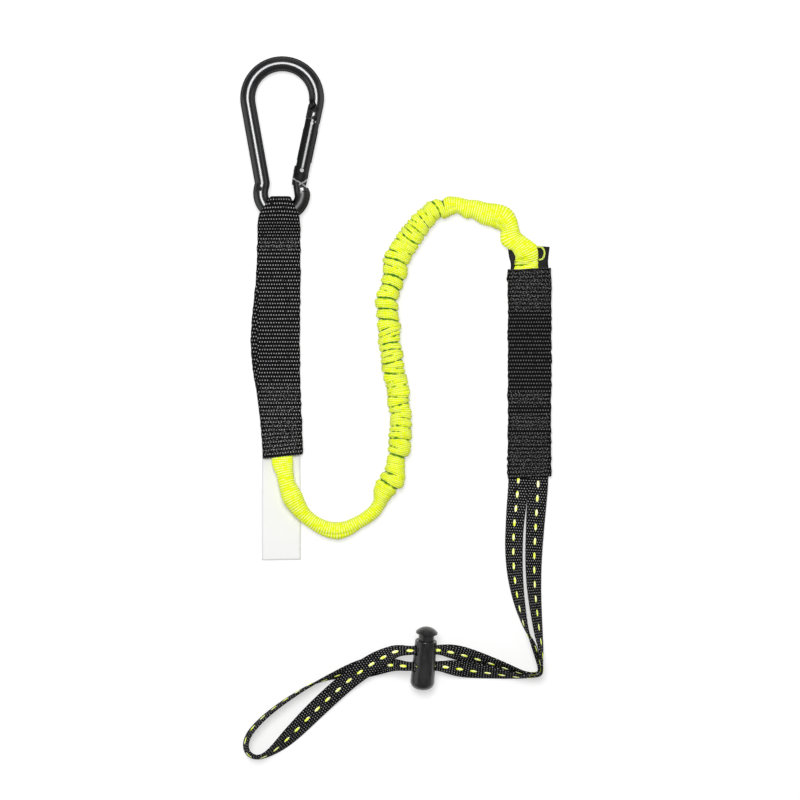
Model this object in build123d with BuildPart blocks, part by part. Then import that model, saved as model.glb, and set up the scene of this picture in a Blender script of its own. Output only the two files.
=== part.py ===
from build123d import *
from math import asin, atan2, cos, degrees, hypot, pi, radians, sin, tan
import os

# A tool lanyard laid flat: a pear-shaped carabiner, a webbing anchor handle, an elastic
# bungee in a gathered tube, a webbing tool handle, and a choke loop with a cord lock.
# Millimetres. Z = 0 is the surface that it lies on, +Y runs towards the carabiner.

# Webbing
WEB_WIDTH = 25.5
WEB = 1.5  # thickness of the broad webbing
LOOP_WIDTH = 12.0
LOOP_WEB = 1.4
STITCH_HEIGHT = 0.3
STITCH_WIDTH = 0.9

# Carabiner
ROD_RADIUS = 4.5
ROD_END_RADIUS = 4.42  # the rounded ends, with a small step to the rod
BAR_Y = 94.4  # middle of the bar that carries the webbing's fold
BAR_GAP = 0.3
EYE_X, EYE_Y, EYE_RADIUS = -68.1, 107.0, 12.6
EYE_RIGHT, EYE_LEFT = -2.0, 165.0  # where the eye's round stretch ends
STUB_END, STUB_FOOT = 6.0, -12.0  # the stub bends below the pivot and sinks into the eye
PINCH_RADIUS = 5.4
BOW_X, BOW_Y, BOW_RADIUS = -67.85, 163.95, 20.65
SPINE_FOOT_Y = 111.6
SPINE_LEAN = 10.2
PIVOT_X, PIVOT_Y = -55.9, 120.4
GATE_END_RADIUS = 5.6
GATE_SEAM = 31.5  # from the pivot to the nose
LIP_START, LIP_DROP = 2.0, 1.9  # the nose's outer lip, which stops the gate
SEAM_GAP = 0.35
SHOULDER_GAP = 1.8  # bare tongue shows here, between the gate's end and the body
NECK_UP, NECK_CUT = 8.2, 3.2  # the nose is scooped out this far above the seam
TONGUE, TONGUE_SLOT, TONGUE_HALF = 3.4, 3.7, 4.3
PIN_RADIUS, PIN_CLEARANCE = 1.5, 0.05
CATCH, CATCH_SLOT, CATCH_DEPTH = 2.6, 3.0, 5.0
LATCH_PIN_RADIUS, LATCH_PIN_AT = 0.9, 28.7
BORE_RADIUS, BORE_START, BORE_END = 2.6, 2.5, 17.0
PLUNGER_RADIUS, PLUNGER_START, PLUNGER_LENGTH = 2.5, 3.1, 3.4
CAM_RADIUS, CAM_OFFSET = 3.0, 2.4

# Anchor handle
FLEX_Y = 80.0  # the webbing bends here, between the bar and the first tack
HANDLE_END_Y = -51.0
TAG = 0.3
TAG_LENGTH = 63.0

# Bungee
SLEEVE_RADIUS, SLEEVE_BORE, CORE_RADIUS = 6.75, 5.2, 5.0
SLEEVE_LIFT = 1.2  # it lies over the tag at one end and the back tab at the other
TAB_HALF_WIDTH, TAB_HALF_THICKNESS, TAB_LENGTH = 7.0, 1.3, 21.0

# Tool handle
TOOL_X, TOOL_WIDTH = 80.25, 26.1
TOOL_TOP_Y, TOOL_END_Y = 61.8, -63.6
BACK_TAB = 1.0

# Cord lock
LOCK_X, LOCK_Y, LOCK_Z = 15.7, -189.6, 7.55
LOCK_LEAN, LOCK_RISE, LOCK_ROLL = 5.0, 12.0, 26.0
BARREL_RADIUS, BARREL_TOP_RADIUS = 7.4, 6.5
BARREL_LENGTH, BARREL_BORE, BARREL_FLOOR = 30.3, 5.6, 3.5
WINDOW_LOW, WINDOW_HIGH, WINDOW = 14.26, 24.27, 6.0
PLUNGER_BODY, PLUNGER_FOOT, LOCK_TRAVEL = 5.5, 9.5, 2.8
STEM_RADIUS, CAP_RADIUS, CAP_START, CAP_TOP = 4.7, 6.5, 34.6, 38.6
CAP_EDGE = 0.9  # thickness of the domed cap at its edge

os.makedirs("parts", exist_ok=True)


def save(built, label):
    """Label a finished piece and write it as its own STEP file."""
    built.part.label = label
    export_step(built.part, f"parts/{label}.step")


# ---------------------------------------------------------------- carabiner
# The bar rests on the webbing and the bow on the surface, so the carabiner leans a little.
bar_z = WEB + BAR_GAP + ROD_RADIUS
bow_drop = bar_z - ROD_RADIUS - 0.05
tilt = asin(bow_drop / (BOW_Y + BOW_RADIUS - BAR_Y))
carabiner_plane = Plane(
    origin=(EYE_X, BAR_Y, bar_z), x_dir=(1, 0, 0), z_dir=(0, sin(tilt), cos(tilt))
)


def on_carabiner(x, y):
    """A point of the layout, in the carabiner's own plane."""
    return (x - EYE_X, y - BAR_Y)


eye = on_carabiner(EYE_X, EYE_Y)
bow = on_carabiner(BOW_X, BOW_Y)
pivot = on_carabiner(PIVOT_X, PIVOT_Y)

# The gate's line is tangent to the bow: solve the bow's radius along the gate's normal.
across, along = bow[0] - pivot[0], bow[1] - pivot[1]
gate_lean = asin(BOW_RADIUS / hypot(across, along)) + atan2(across, along)
gate_right = Vector(cos(gate_lean), -sin(gate_lean))
spine_lean = radians(SPINE_LEAN)
spine_top = (bow[0] - BOW_RADIUS * cos(spine_lean), bow[1] - BOW_RADIUS * sin(spine_lean))
spine_drop = spine_top[1] - (SPINE_FOOT_Y - BAR_Y)
spine_foot = (spine_top[0] + spine_drop * tan(spine_lean), spine_top[1] - spine_drop)

gate_plane = Plane(
    origin=carabiner_plane.from_local_coords(pivot + (0,)),
    x_dir=carabiner_plane.x_dir * gate_right.X + carabiner_plane.y_dir * gate_right.Y,
    z_dir=carabiner_plane.z_dir,
)
gate_axis = Plane(
    origin=gate_plane.origin, x_dir=gate_plane.x_dir, z_dir=gate_plane.y_dir
)

nose_lip = gate_plane.from_local_coords((0, GATE_SEAM - LIP_DROP, 0))


def round_eye(angle, run):
    """A point of the eye's middle line, moved on by a run along its tangent."""
    turn = radians(angle)
    x = eye[0] + EYE_RADIUS * cos(turn) - run * sin(turn)
    y = eye[1] + EYE_RADIUS * sin(turn) + run * cos(turn)
    return (x, y)


# The eye's left end runs on until it meets the spine's line, which gives the pinch.
left_end, right_end = radians(EYE_LEFT), radians(EYE_RIGHT)
eye_end = round_eye(EYE_LEFT, 0)
spine_gap = spine_foot[0] + (spine_foot[1] - eye_end[1]) * tan(spine_lean) - eye_end[0]
run_on = spine_gap / (sin(left_end) - cos(left_end) * tan(spine_lean))
pinch = round_eye(EYE_LEFT, -run_on)

with BuildPart() as carabiner_body:
    # Captive eye, spine, bow and nose in one bend
    with BuildLine(carabiner_plane) as rod_line:
        CenterArc(eye, EYE_RADIUS, EYE_RIGHT, EYE_LEFT - EYE_RIGHT - 360)
        spine = FilletPolyline(eye_end, pinch, spine_top, radius=PINCH_RADIUS)
        arch = JernArc(
            start=spine @ 1,
            tangent=spine % 1,
            radius=BOW_RADIUS,
            arc_size=-(180 + SPINE_LEAN + degrees(gate_lean)),
        )
        Line(arch @ 1, nose_lip)
    rod = rod_line.wire()
    with BuildSketch(Plane(rod @ 0, z_dir=rod % 0)):
        Circle(ROD_RADIUS)
    sweep(path=rod)
    with Locations(Location(rod @ 0)):
        Sphere(ROD_END_RADIUS)
    # The stub under the gate bends once and sinks into the eye
    stub_bend = gate_axis.from_local_coords((0, 0, -STUB_END))
    stub_foot = carabiner_plane.from_local_coords(round_eye(STUB_FOOT, 0) + (0,))
    with BuildSketch(gate_axis.offset(-STUB_END)):
        Circle(ROD_RADIUS)
    extrude(amount=STUB_END)
    with BuildSketch(Plane(stub_bend, z_dir=stub_foot - stub_bend)):
        Circle(ROD_END_RADIUS)
    extrude(amount=(stub_foot - stub_bend).length)
    with Locations(stub_bend, stub_foot):
        Sphere(ROD_END_RADIUS - 0.06)
    # Hollow shoulder for the gate's rounded end, lower on the outer side
    with BuildSketch(gate_plane):
        Circle(GATE_END_RADIUS + SHOULDER_GAP)
        with BuildLine():
            Polyline((1.0, -7.2), (4.6, -9.3), (9.0, -9.8), (9.0, 0), (1.0, 0), close=True)
        make_face()
    extrude(amount=2 * ROD_RADIUS, both=True, mode=Mode.SUBTRACT)
    # The nose ends at the seam, but for its outer lip
    with BuildSketch(gate_plane):
        with Locations((LIP_START - ROD_RADIUS, GATE_SEAM - LIP_DROP)):
            Rectangle(2 * ROD_RADIUS, LIP_DROP, align=(Align.CENTER, Align.MIN))
    extrude(amount=2 * ROD_RADIUS, both=True, mode=Mode.SUBTRACT)
    # Neck on the inner side, above the catch
    with BuildSketch(gate_plane):
        with Locations((-ROD_RADIUS - 2.15, GATE_SEAM + NECK_UP + 0.8)):
            Circle(2.6)
    extrude(amount=2 * ROD_RADIUS, both=True, mode=Mode.SUBTRACT)
    for height in (-ROD_RADIUS - 0.2, ROD_RADIUS + 0.2):
        scoop = gate_plane.from_local_coords((-NECK_CUT + 0.1, GATE_SEAM + NECK_UP, height))
        with Locations(scoop):
            Sphere(NECK_CUT, mode=Mode.SUBTRACT)
    # Flat catch in the gate's slot, with the notch that holds the latch pin
    with BuildSketch(gate_plane):
        with Locations((-0.3, GATE_SEAM + 2.0)):
            Rectangle(4.4, CATCH_DEPTH + 2.0, align=(Align.CENTER, Align.MAX))
        with Locations((-1.0, LATCH_PIN_AT)):
            Rectangle(4.4, 2 * LATCH_PIN_RADIUS + 0.5, mode=Mode.SUBTRACT)
    extrude(amount=CATCH / 2, both=True)
    # Hinge tongue with its cam end
    with BuildSketch(gate_plane):
        with BuildLine():
            Polyline(
                (-TONGUE_HALF, -GATE_END_RADIUS - 2 * SHOULDER_GAP),
                (2.0, -11.4),
                (TONGUE_HALF - 0.4, -11.4),
                (TONGUE_HALF, -2.0),
                (3.0, 1.2),
                (-3.6, 1.2),
                (-TONGUE_HALF - 0.4, -0.5),
                (-TONGUE_HALF - 0.4, -5.0),
                close=True,
            )
        make_face()
        with Locations((-CAM_OFFSET, 0)):
            Circle(CAM_RADIUS)
        with Locations((0.6, 0)):
            Circle(CAM_RADIUS - 0.6)
        with Locations((0, 0)):
            Circle(PIN_RADIUS + PIN_CLEARANCE, mode=Mode.SUBTRACT)
        with Locations((-TONGUE_HALF - 0.6 - 3.0, 0)):
            Rectangle(6.0, 12.0, mode=Mode.SUBTRACT)
    extrude(amount=TONGUE / 2, both=True)
save(carabiner_body, "carabiner_body")

with BuildPart() as carabiner_gate:
    with BuildSketch(gate_axis.offset(-GATE_END_RADIUS)):
        Circle(ROD_RADIUS)
    extrude(amount=GATE_END_RADIUS + GATE_SEAM - SEAM_GAP)
    # Lower end rounded about the pivot, upper end stepped round the nose's lip
    with BuildSketch(gate_plane):
        Circle(GATE_END_RADIUS)
        Rectangle(3 * ROD_RADIUS, GATE_SEAM, align=(Align.CENTER, Align.MIN))
        with Locations((LIP_START - SEAM_GAP, GATE_SEAM)):
            Rectangle(
                ROD_RADIUS * 2, LIP_DROP + SEAM_GAP, align=(Align.MIN, Align.MAX), mode=Mode.SUBTRACT
            )
    extrude(amount=2 * ROD_RADIUS, both=True, mode=Mode.INTERSECT)
    # Slot for the tongue
    with BuildSketch(gate_plane):
        Rectangle(4 * ROD_RADIUS, 2 * (GATE_END_RADIUS + 0.2))
    extrude(amount=TONGUE_SLOT / 2, both=True, mode=Mode.SUBTRACT)
    # Slot for the catch
    with BuildSketch(gate_plane):
        with Locations((0, GATE_SEAM)):
            Rectangle(4 * ROD_RADIUS, CATCH_DEPTH + 1.3, align=(Align.CENTER, Align.MAX))
    extrude(amount=CATCH_SLOT / 2, both=True, mode=Mode.SUBTRACT)
    # Holes for the two pins, and the bore for the spring and its plunger
    with BuildSketch(gate_plane):
        Circle(PIN_RADIUS)
        with Locations((0, LATCH_PIN_AT)):
            Circle(LATCH_PIN_RADIUS)
    extrude(amount=2 * ROD_RADIUS, both=True, mode=Mode.SUBTRACT)
    with BuildSketch(gate_axis.offset(BORE_START)):
        Circle(BORE_RADIUS)
    extrude(amount=BORE_END - BORE_START, mode=Mode.SUBTRACT)
save(carabiner_gate, "carabiner_gate")

pin_length = 2 * (ROD_RADIUS - 0.15)
with BuildPart() as gate_pivot_pin:
    with BuildSketch(gate_plane.offset(-pin_length / 2)):
        Circle(PIN_RADIUS)
    extrude(amount=pin_length)
    chamfer(gate_pivot_pin.edges().filter_by(GeomType.CIRCLE), 0.3)
save(gate_pivot_pin, "gate_pivot_pin")

with BuildPart() as gate_latch_pin:
    with BuildSketch(gate_plane.offset(-pin_length / 2 + 0.2)):
        with Locations((0, LATCH_PIN_AT)):
            Circle(LATCH_PIN_RADIUS)
    extrude(amount=pin_length - 0.4)
save(gate_latch_pin, "gate_latch_pin")

with BuildPart() as gate_plunger:
    with BuildSketch(gate_axis.offset(PLUNGER_START)):
        Circle(PLUNGER_RADIUS)
    extrude(amount=PLUNGER_LENGTH)
    with BuildSketch(gate_axis.offset(PLUNGER_START + PLUNGER_LENGTH)):
        Circle(1.2)
    extrude(amount=1.5)
save(gate_plunger, "gate_plunger")


def coil(plane, start, end, radius, wire, turns):
    """A compression spring between two heights of a plane's normal."""
    with BuildPart() as spring:
        rise = end - start - wire
        foot = plane.origin + plane.z_dir * (start + wire / 2)
        with BuildLine() as path:
            Helix(rise / turns, rise, radius, center=foot, direction=plane.z_dir)
        with BuildSketch(Plane(path.line @ 0, z_dir=path.line % 0)):
            Circle(wire / 2)
        sweep(is_frenet=True)
    return spring


gate_spring = coil(gate_axis, PLUNGER_START + PLUNGER_LENGTH + 0.05, BORE_END - 0.05, 2.05, 0.7, 7)
save(gate_spring, "gate_spring")

# ------------------------------------------------------------ anchor handle
# Where the webbing goes through the eye and round the bar. It turns with the carabiner.
fold_top = bar_z + ROD_RADIUS + BAR_GAP + 0.2 + WEB
FOLD_PLAN = [
    (-82.6, FLEX_Y),
    (-57.0, FLEX_Y),
    (-57.0, 90.0),
    (-57.8, 94.0),
    (-59.0, 98.2),
    (-61.4, 102.4),
    (-63.0, 105.8),
    (-74.6, 105.8),
    (-76.9, 101.6),
    (-79.6, 97.2),
    (-82.0, 93.0),
    (-82.6, 90.0),
]
with BuildPart() as anchor_fold:
    with BuildSketch(Plane.YZ.offset(EYE_X)):
        with BuildLine():
            Polyline(
                (FLEX_Y, 0),
                (102.6, 0),
                (104.7, 1.2),
                (105.6, 3.4),
                (105.6, 8.4),
                (104.6, 10.9),
                (102.0, fold_top),
                (92.4, fold_top),
                (89.6, fold_top - 1.2),
                (FLEX_Y + 0.6, 2 * WEB + 0.3),
                (FLEX_Y, 2 * WEB),
                close=True,
            )
        make_face()
        offset(amount=-WEB, mode=Mode.SUBTRACT)
    extrude(amount=WEB_WIDTH, both=True)
    with BuildSketch(Plane.XY):
        with BuildLine():
            Polyline(*FOLD_PLAN, close=True)
        make_face()
    extrude(amount=2 * fold_top, mode=Mode.INTERSECT)
save(anchor_fold, "anchor_fold")

# Front and back legs of the folded webbing. The front leg lies on the back one at the two
# tacks, stands off between them, and rises over the tag and the bungee at the end.
end_gap = TAG + 2 * TAB_HALF_THICKNESS
FRONT_LEG = [
    (FLEX_Y, 0.0),
    (71.0, 0.0),
    (60.0, 0.5),
    (38.0, 0.9),
    (12.0, 0.7),
    (-4.0, 0.0),
    (-19.0, 0.0),
    (-30.0, end_gap),
    (HANDLE_END_Y, end_gap),
]
FRONT_PLAN = [
    (-57.0, FLEX_Y),
    (-57.0, -7.8),
    (-56.1, -33.6),
    (-56.1, -48.0),
    (-79.2, HANDLE_END_Y),
    (-81.3, -22.8),
    (-82.6, -7.8),
    (-82.6, FLEX_Y),
]
BACK_PLAN = [
    (-57.0, FLEX_Y),
    (-57.0, -7.8),
    (-56.1, -33.6),
    (-56.1, -48.0),
    (-79.2, HANDLE_END_Y),
    (-81.3, -22.8),
    (-83.0, -12.0),
    (-85.5, 1.2),
    (-86.7, 16.8),
    (-85.8, 31.2),
    (-83.4, 49.2),
    (-82.6, FLEX_Y),
]


def leg(profile, plan, base):
    """Webbing with a side view of (y, height over base), cut to a plan outline."""
    under = [(y, base + rise) for y, rise in profile]
    over = [(y, base + rise + WEB) for y, rise in reversed(profile)]
    with BuildPart() as made:
        with BuildSketch(Plane.YZ.offset(plan[0][0])):
            with BuildLine():
                Polyline(*under, *over, close=True)
            make_face()
        extrude(amount=3 * WEB_WIDTH, both=True)
        with BuildSketch(Plane.XY):
            with BuildLine():
                Polyline(*plan, close=True)
            make_face()
        extrude(amount=30, mode=Mode.INTERSECT)
    return made


front_leg = leg(FRONT_LEG, FRONT_PLAN, WEB)
with BuildPart() as anchor_strap:
    with BuildSketch(Plane.XY):
        with BuildLine():
            Polyline(*BACK_PLAN, close=True)
        make_face()
    extrude(amount=WEB)
    add(front_leg.part)
save(anchor_strap, "anchor_strap")


def stitch_rows(rows, x, width, height, lean=0.0):
    """Sewn rows across a strap: one thin bar of thread for each row."""
    with BuildPart() as made:
        for y in rows:
            middle = Plane(origin=(x, y, height), z_dir=(0, 0, 1)).rotated((0, 0, lean))
            with BuildSketch(middle):
                SlotOverall(width, STITCH_WIDTH)
            extrude(amount=STITCH_HEIGHT)
    return made


anchor_tack_stitches = stitch_rows((78.0, 75.5, 73.0), -69.8, 22.0, 2 * WEB)
save(anchor_tack_stitches, "anchor_tack_stitches")
anchor_middle_stitches = stitch_rows((-7.5, -10.5, -13.5, -16.5), -69.4, 22.0, 2 * WEB, 2.0)
save(anchor_middle_stitches, "anchor_middle_stitches")
anchor_end_stitches = stitch_rows(
    (-32.0, -35.0, -38.0, -41.0, -44.0, -47.0), -68.2, 20.0, 2 * WEB + end_gap, 3.5
)
save(anchor_end_stitches, "anchor_end_stitches")

# Plain satin tag, sewn into the end and lying on the surface beyond it
TAG_PLAN = [(-80.1, -36.0), (-57.3, -35.0), (-56.7, -112.5), (-80.1, -112.9)]
TAG_SIDE = [(-35.0, WEB), (-51.2, WEB), (-57.0, 0.02), (-112.9, 0.02)]
with BuildPart() as blank_tag:
    with BuildSketch(Plane.YZ.offset(-68.0)):
        with BuildLine():
            Polyline(
                *TAG_SIDE, *[(y, z + TAG) for y, z in reversed(TAG_SIDE)], close=True
            )
        make_face()
    extrude(amount=WEB_WIDTH, both=True)
    with BuildSketch(Plane.XY):
        with BuildLine():
            Polyline(*TAG_PLAN, close=True)
        make_face()
    extrude(amount=10, mode=Mode.INTERSECT)
save(blank_tag, "blank_tag")

# ------------------------------------------------------------------- bungee
# Route of the bungee's middle, from the anchor handle to the tool handle.
sleeve_z = SLEEVE_RADIUS + SLEEVE_LIFT
BUNGEE = [
    (-66.0, -61.8),
    (-60.3, -78.0),
    (-49.5, -90.9),
    (-34.5, -95.7),
    (-20.1, -90.0),
    (-8.7, -78.0),
    (-1.5, -63.0),
    (1.8, -46.8),
    (3.0, -29.4),
    (1.2, -12.0),
    (-2.4, 6.0),
    (-4.2, 23.4),
    (-4.5, 41.4),
    (-1.2, 58.2),
    (3.9, 74.4),
    (12.9, 88.2),
    (24.9, 98.4),
    (38.1, 102.0),
    (52.5, 96.9),
    (65.1, 90.3),
    (72.6, 80.4),
    (77.4, 72.6),
]
BUNGEE_START = (-67.5, HANDLE_END_Y, WEB + TAG + TAB_HALF_THICKNESS)
BUNGEE_END = (79.4, TOOL_TOP_Y + 1.8, WEB + BACK_TAB + TAB_HALF_THICKNESS)


def bend_radii(route):
    """The largest tangent arc at each corner of a route: 0.45 of its shorter run."""
    radii = []
    for before, corner, after in zip(route, route[1:], route[2:]):
        come, go = Vector(*corner) - Vector(*before), Vector(*after) - Vector(*corner)
        turn = radians(come.get_angle(go))
        radii.append(0.45 * min(come.length, go.length) / tan(turn / 2))
    return radii


bungee_radii = bend_radii(BUNGEE)
print("bungee bend radii", [round(r, 1) for r in bungee_radii])
with BuildLine(Plane.XY.offset(sleeve_z)) as bungee_line:
    FilletPolyline(*BUNGEE, radius=bungee_radii)
bungee = bungee_line.wire()

with BuildPart() as bungee_sleeve:
    with BuildSketch(Plane(bungee @ 0, z_dir=bungee % 0)):
        Circle(SLEEVE_RADIUS)
        Circle(SLEEVE_BORE, mode=Mode.SUBTRACT)
    sweep(path=bungee)
save(bungee_sleeve, "bungee_sleeve")

with BuildPart() as bungee_core:
    with BuildSketch(Plane(bungee @ 0, z_dir=bungee % 0)):
        Circle(CORE_RADIUS)
    sweep(path=bungee)
save(bungee_core, "bungee_core")

core_area = pi * CORE_RADIUS**2
print("bungee length", round(bungee.length, 1))
print("core volume over section times length", bungee_core.part.volume / core_area / bungee.length)


def sewn_end(tube_end, tube_out, strap_edge):
    """The sleeve's end: round at the tube, flat where it is sewn between the webbing."""
    into_strap = (Vector(*strap_edge) - tube_end).normalized()
    level = Vector(into_strap.X, into_strap.Y, 0).normalized()
    across_strap = Vector(level.Y, -level.X, 0)
    edge_plane = Plane(origin=strap_edge, x_dir=across_strap, z_dir=level)
    with BuildPart() as made:
        with BuildSketch(Plane(tube_end, x_dir=across_strap, z_dir=tube_out)):
            Circle(SLEEVE_RADIUS)
        with BuildSketch(edge_plane):
            Ellipse(TAB_HALF_WIDTH, TAB_HALF_THICKNESS)
        loft()
        with BuildSketch(edge_plane):
            Ellipse(TAB_HALF_WIDTH, TAB_HALF_THICKNESS)
        extrude(amount=TAB_LENGTH)
    return made


bungee_anchor_end = sewn_end(bungee @ 0, (bungee % 0) * -1, BUNGEE_START)
save(bungee_anchor_end, "bungee_anchor_end")
bungee_tool_end = sewn_end(bungee @ 1, bungee % 1, BUNGEE_END)
save(bungee_tool_end, "bungee_tool_end")

# -------------------------------------------------------------- tool handle
TOOL_LEFT, TOOL_RIGHT = TOOL_X - TOOL_WIDTH / 2, TOOL_X + TOOL_WIDTH / 2
with BuildPart() as tool_strap_back:
    with BuildSketch(Plane.XY):
        with BuildLine():
            Polyline(
                (TOOL_LEFT, TOOL_TOP_Y),
                (TOOL_RIGHT, TOOL_TOP_Y),
                (TOOL_RIGHT, TOOL_END_Y),
                (TOOL_LEFT, TOOL_END_Y),
                close=True,
            )
        make_face()
    extrude(amount=WEB)
save(tool_strap_back, "tool_strap_back")

TOOL_FRONT = [
    (TOOL_TOP_Y, BACK_TAB + 2 * TAB_HALF_THICKNESS),
    (39.0, BACK_TAB + 2 * TAB_HALF_THICKNESS),
    (30.0, 0.0),
    (-28.0, 0.0),
    (-36.0, LOOP_WEB),
    (TOOL_END_Y, LOOP_WEB),
]
TOOL_PLAN = [
    (TOOL_RIGHT, TOOL_TOP_Y),
    (TOOL_RIGHT, TOOL_END_Y),
    (TOOL_LEFT, TOOL_END_Y),
    (TOOL_LEFT, TOOL_TOP_Y),
]
tool_strap_front = leg(TOOL_FRONT, TOOL_PLAN, WEB)
save(tool_strap_front, "tool_strap_front")

# Smooth tape behind the bungee: sewn in between the two straps, then down on the surface
TAB_SIDE = [(42.0, WEB), (TOOL_TOP_Y, WEB), (66.5, 0.05), (77.0, 0.05)]
TAB_PLAN = [
    (67.8, 42.0),
    (92.4, 42.0),
    (91.8, 64.5),
    (92.2, 75.0),
    (83.7, 76.8),
    (67.8, 76.2),
    (68.4, 64.5),
]
with BuildPart() as back_tab:
    with BuildSketch(Plane.YZ.offset(TOOL_X)):
        with BuildLine():
            Polyline(
                *TAB_SIDE, *[(y, z + BACK_TAB) for y, z in reversed(TAB_SIDE)], close=True
            )
        make_face()
    extrude(amount=WEB_WIDTH, both=True)
    with BuildSketch(Plane.XY):
        with BuildLine():
            Polyline(*TAB_PLAN, close=True)
        make_face()
    extrude(amount=10, mode=Mode.INTERSECT)
save(back_tab, "back_tab")

THREAD_RADIUS = 0.5
with BuildPart() as thread_loop:
    with BuildLine(Plane.XY.offset(0.05 + BACK_TAB + THREAD_RADIUS)) as thread_line:
        FilletPolyline(
            (85.0, 75.0),
            (89.2, 75.0),
            (89.2, 67.6),
            (85.0, 67.6),
            radius=1.5,
            close=True,
        )
    thread = thread_line.wire()
    with BuildSketch(Plane(thread @ 0, z_dir=thread % 0)):
        Circle(THREAD_RADIUS)
    sweep(path=thread)
save(thread_loop, "thread_loop")

top_height = 2 * WEB + BACK_TAB + 2 * TAB_HALF_THICKNESS
tool_upper_stitches = stitch_rows(
    [59.4 - 2.4 * row for row in range(9)], TOOL_X, 23.0, top_height
)
save(tool_upper_stitches, "tool_upper_stitches")
tool_middle_stitches = stitch_rows((-10.5, -13.5, -16.5, -26.0), TOOL_X, 23.0, 2 * WEB)
save(tool_middle_stitches, "tool_middle_stitches")
tool_lower_stitches = stitch_rows(
    [-38.4 - 2.4 * row for row in range(10)], TOOL_X, 23.0, 2 * WEB + LOOP_WEB
)
save(tool_lower_stitches, "tool_lower_stitches")

# ---------------------------------------------------------------- cord lock
lean, lift = radians(LOCK_LEAN), radians(LOCK_RISE)
lock_plane = Plane(
    origin=(LOCK_X, LOCK_Y, LOCK_Z),
    x_dir=(cos(lean), -sin(lean), 0),
    z_dir=(sin(lean) * cos(lift), cos(lean) * cos(lift), sin(lift)),
)
# The lock lies rolled over a little, so its windows look up on the left and down on the right.
roll = radians(LOCK_ROLL)
window_way = lock_plane.x_dir * cos(roll) + lock_plane.y_dir * sin(roll)
lock_side = Plane(
    origin=lock_plane.origin, x_dir=lock_plane.z_dir.cross(window_way), z_dir=window_way
)

with BuildPart() as lock_barrel:
    with BuildSketch(lock_plane):
        Circle(BARREL_RADIUS)
    with BuildSketch(lock_plane.offset(BARREL_LENGTH)):
        Circle(BARREL_TOP_RADIUS)
    loft()
    ends = lock_barrel.edges().filter_by(GeomType.CIRCLE).sort_by(Axis.Y)
    fillet(ends[0], 4.8)
    fillet(lock_barrel.edges().filter_by(GeomType.CIRCLE).sort_by(Axis.Y)[-1], 0.5)
    with BuildSketch(lock_plane.offset(BARREL_FLOOR)):
        Circle(BARREL_BORE)
    extrude(amount=BARREL_LENGTH, mode=Mode.SUBTRACT)
    with BuildSketch(lock_side):
        with Locations((0, WINDOW_LOW), (0, WINDOW_HIGH)):
            RectangleRounded(WINDOW, WINDOW, 1.6)
    extrude(amount=2 * BARREL_RADIUS, both=True, mode=Mode.SUBTRACT)
save(lock_barrel, "lock_barrel")

window_foot, window_head = -WINDOW / 2, 2.75 + LOCK_TRAVEL
cap_height = CAP_TOP - CAP_START - CAP_EDGE
dome_radius = (CAP_RADIUS**2 + cap_height**2) / (2 * cap_height)
with BuildPart() as lock_cap:
    with BuildSketch(lock_plane.offset(CAP_START)):
        Circle(CAP_RADIUS)
    extrude(amount=CAP_TOP - CAP_START + 1.0)
    with Locations(lock_plane.from_local_coords((0, 0, CAP_TOP - dome_radius))):
        Sphere(dome_radius, mode=Mode.INTERSECT)

with BuildPart() as lock_plunger:
    with BuildSketch(lock_plane.offset(PLUNGER_FOOT)):
        Circle(PLUNGER_BODY)
    extrude(amount=BARREL_LENGTH - 0.3 - PLUNGER_FOOT)
    with BuildSketch(lock_plane.offset(BARREL_LENGTH - 0.3)):
        Circle(STEM_RADIUS)
    extrude(amount=CAP_START - BARREL_LENGTH + 0.8)
    add(lock_cap.part)
    with BuildSketch(lock_side):
        for window in (WINDOW_LOW, WINDOW_HIGH):
            with Locations((0, window + (window_foot + window_head) / 2)):
                RectangleRounded(WINDOW + 0.4, window_head - window_foot, 1.2)
    extrude(amount=2 * BARREL_RADIUS, both=True, mode=Mode.SUBTRACT)
save(lock_plunger, "lock_plunger")

lock_spring = coil(lock_plane, BARREL_FLOOR + 0.05, PLUNGER_FOOT - 0.05, 3.6, 0.8, 3.4)
save(lock_spring, "lock_spring")

# ----------------------------------------------------------------- the loop
# Stations along one strip of narrow webbing: from the handle down its left run, through
# the lock's upper window, round the loop's tip, back through the lower window and up the
# right run. (x, y, height of the middle, turn about its line in degrees, width, thickness)
BUNDLE_WIDTH, BUNDLE_WEB = 5.0, 3.2
upper = lock_plane.from_local_coords((0, 0, WINDOW_HIGH))
lower = lock_plane.from_local_coords((0, 0, WINDOW_LOW))
entry = window_way * (BARREL_RADIUS + 1.6)
LOOP_END_Z = WEB + LOOP_WEB / 2
HALF = (LOOP_WIDTH, LOOP_WEB)
LEFT_RUN = [
    (73.75, -40.8, LOOP_END_Z, 0, *HALF),
    (73.75, -63.6, LOOP_END_Z, 0, *HALF),
    (72.6, -76.0, 2.6, 15, *HALF),
    (71.4, -91.2, 4.1, 31, *HALF),
    (70.8, -105.6, 4.3, 33, *HALF),
    (71.4, -120.0, 5.0, 42, *HALF),
    (73.0, -132.0, 5.8, 54, *HALF),
    (75.2, -143.0, 6.2, 66, *HALF),
    (78.5, -154.8, 6.3, 84, *HALF),
    (82.6, -163.2, 6.3, 102, *HALF),
    (84.8, -170.4, 6.3, 101, *HALF),
    (85.6, -175.8, 6.3, 95, *HALF),
    (84.4, -179.0, 6.3, 93, *HALF),
]
UPPER_BAND = [
    (78.0, -180.2, 6.3, 97, *HALF),
    (69.3, -177.9, 6.2, 112, *HALF),
    (56.7, -173.9, 5.6, 127, *HALF),
    (44.7, -170.2, 5.6, 138, *HALF),
    (35.0, -167.4, 8.0, 152, 9.5, 1.8),
]
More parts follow.
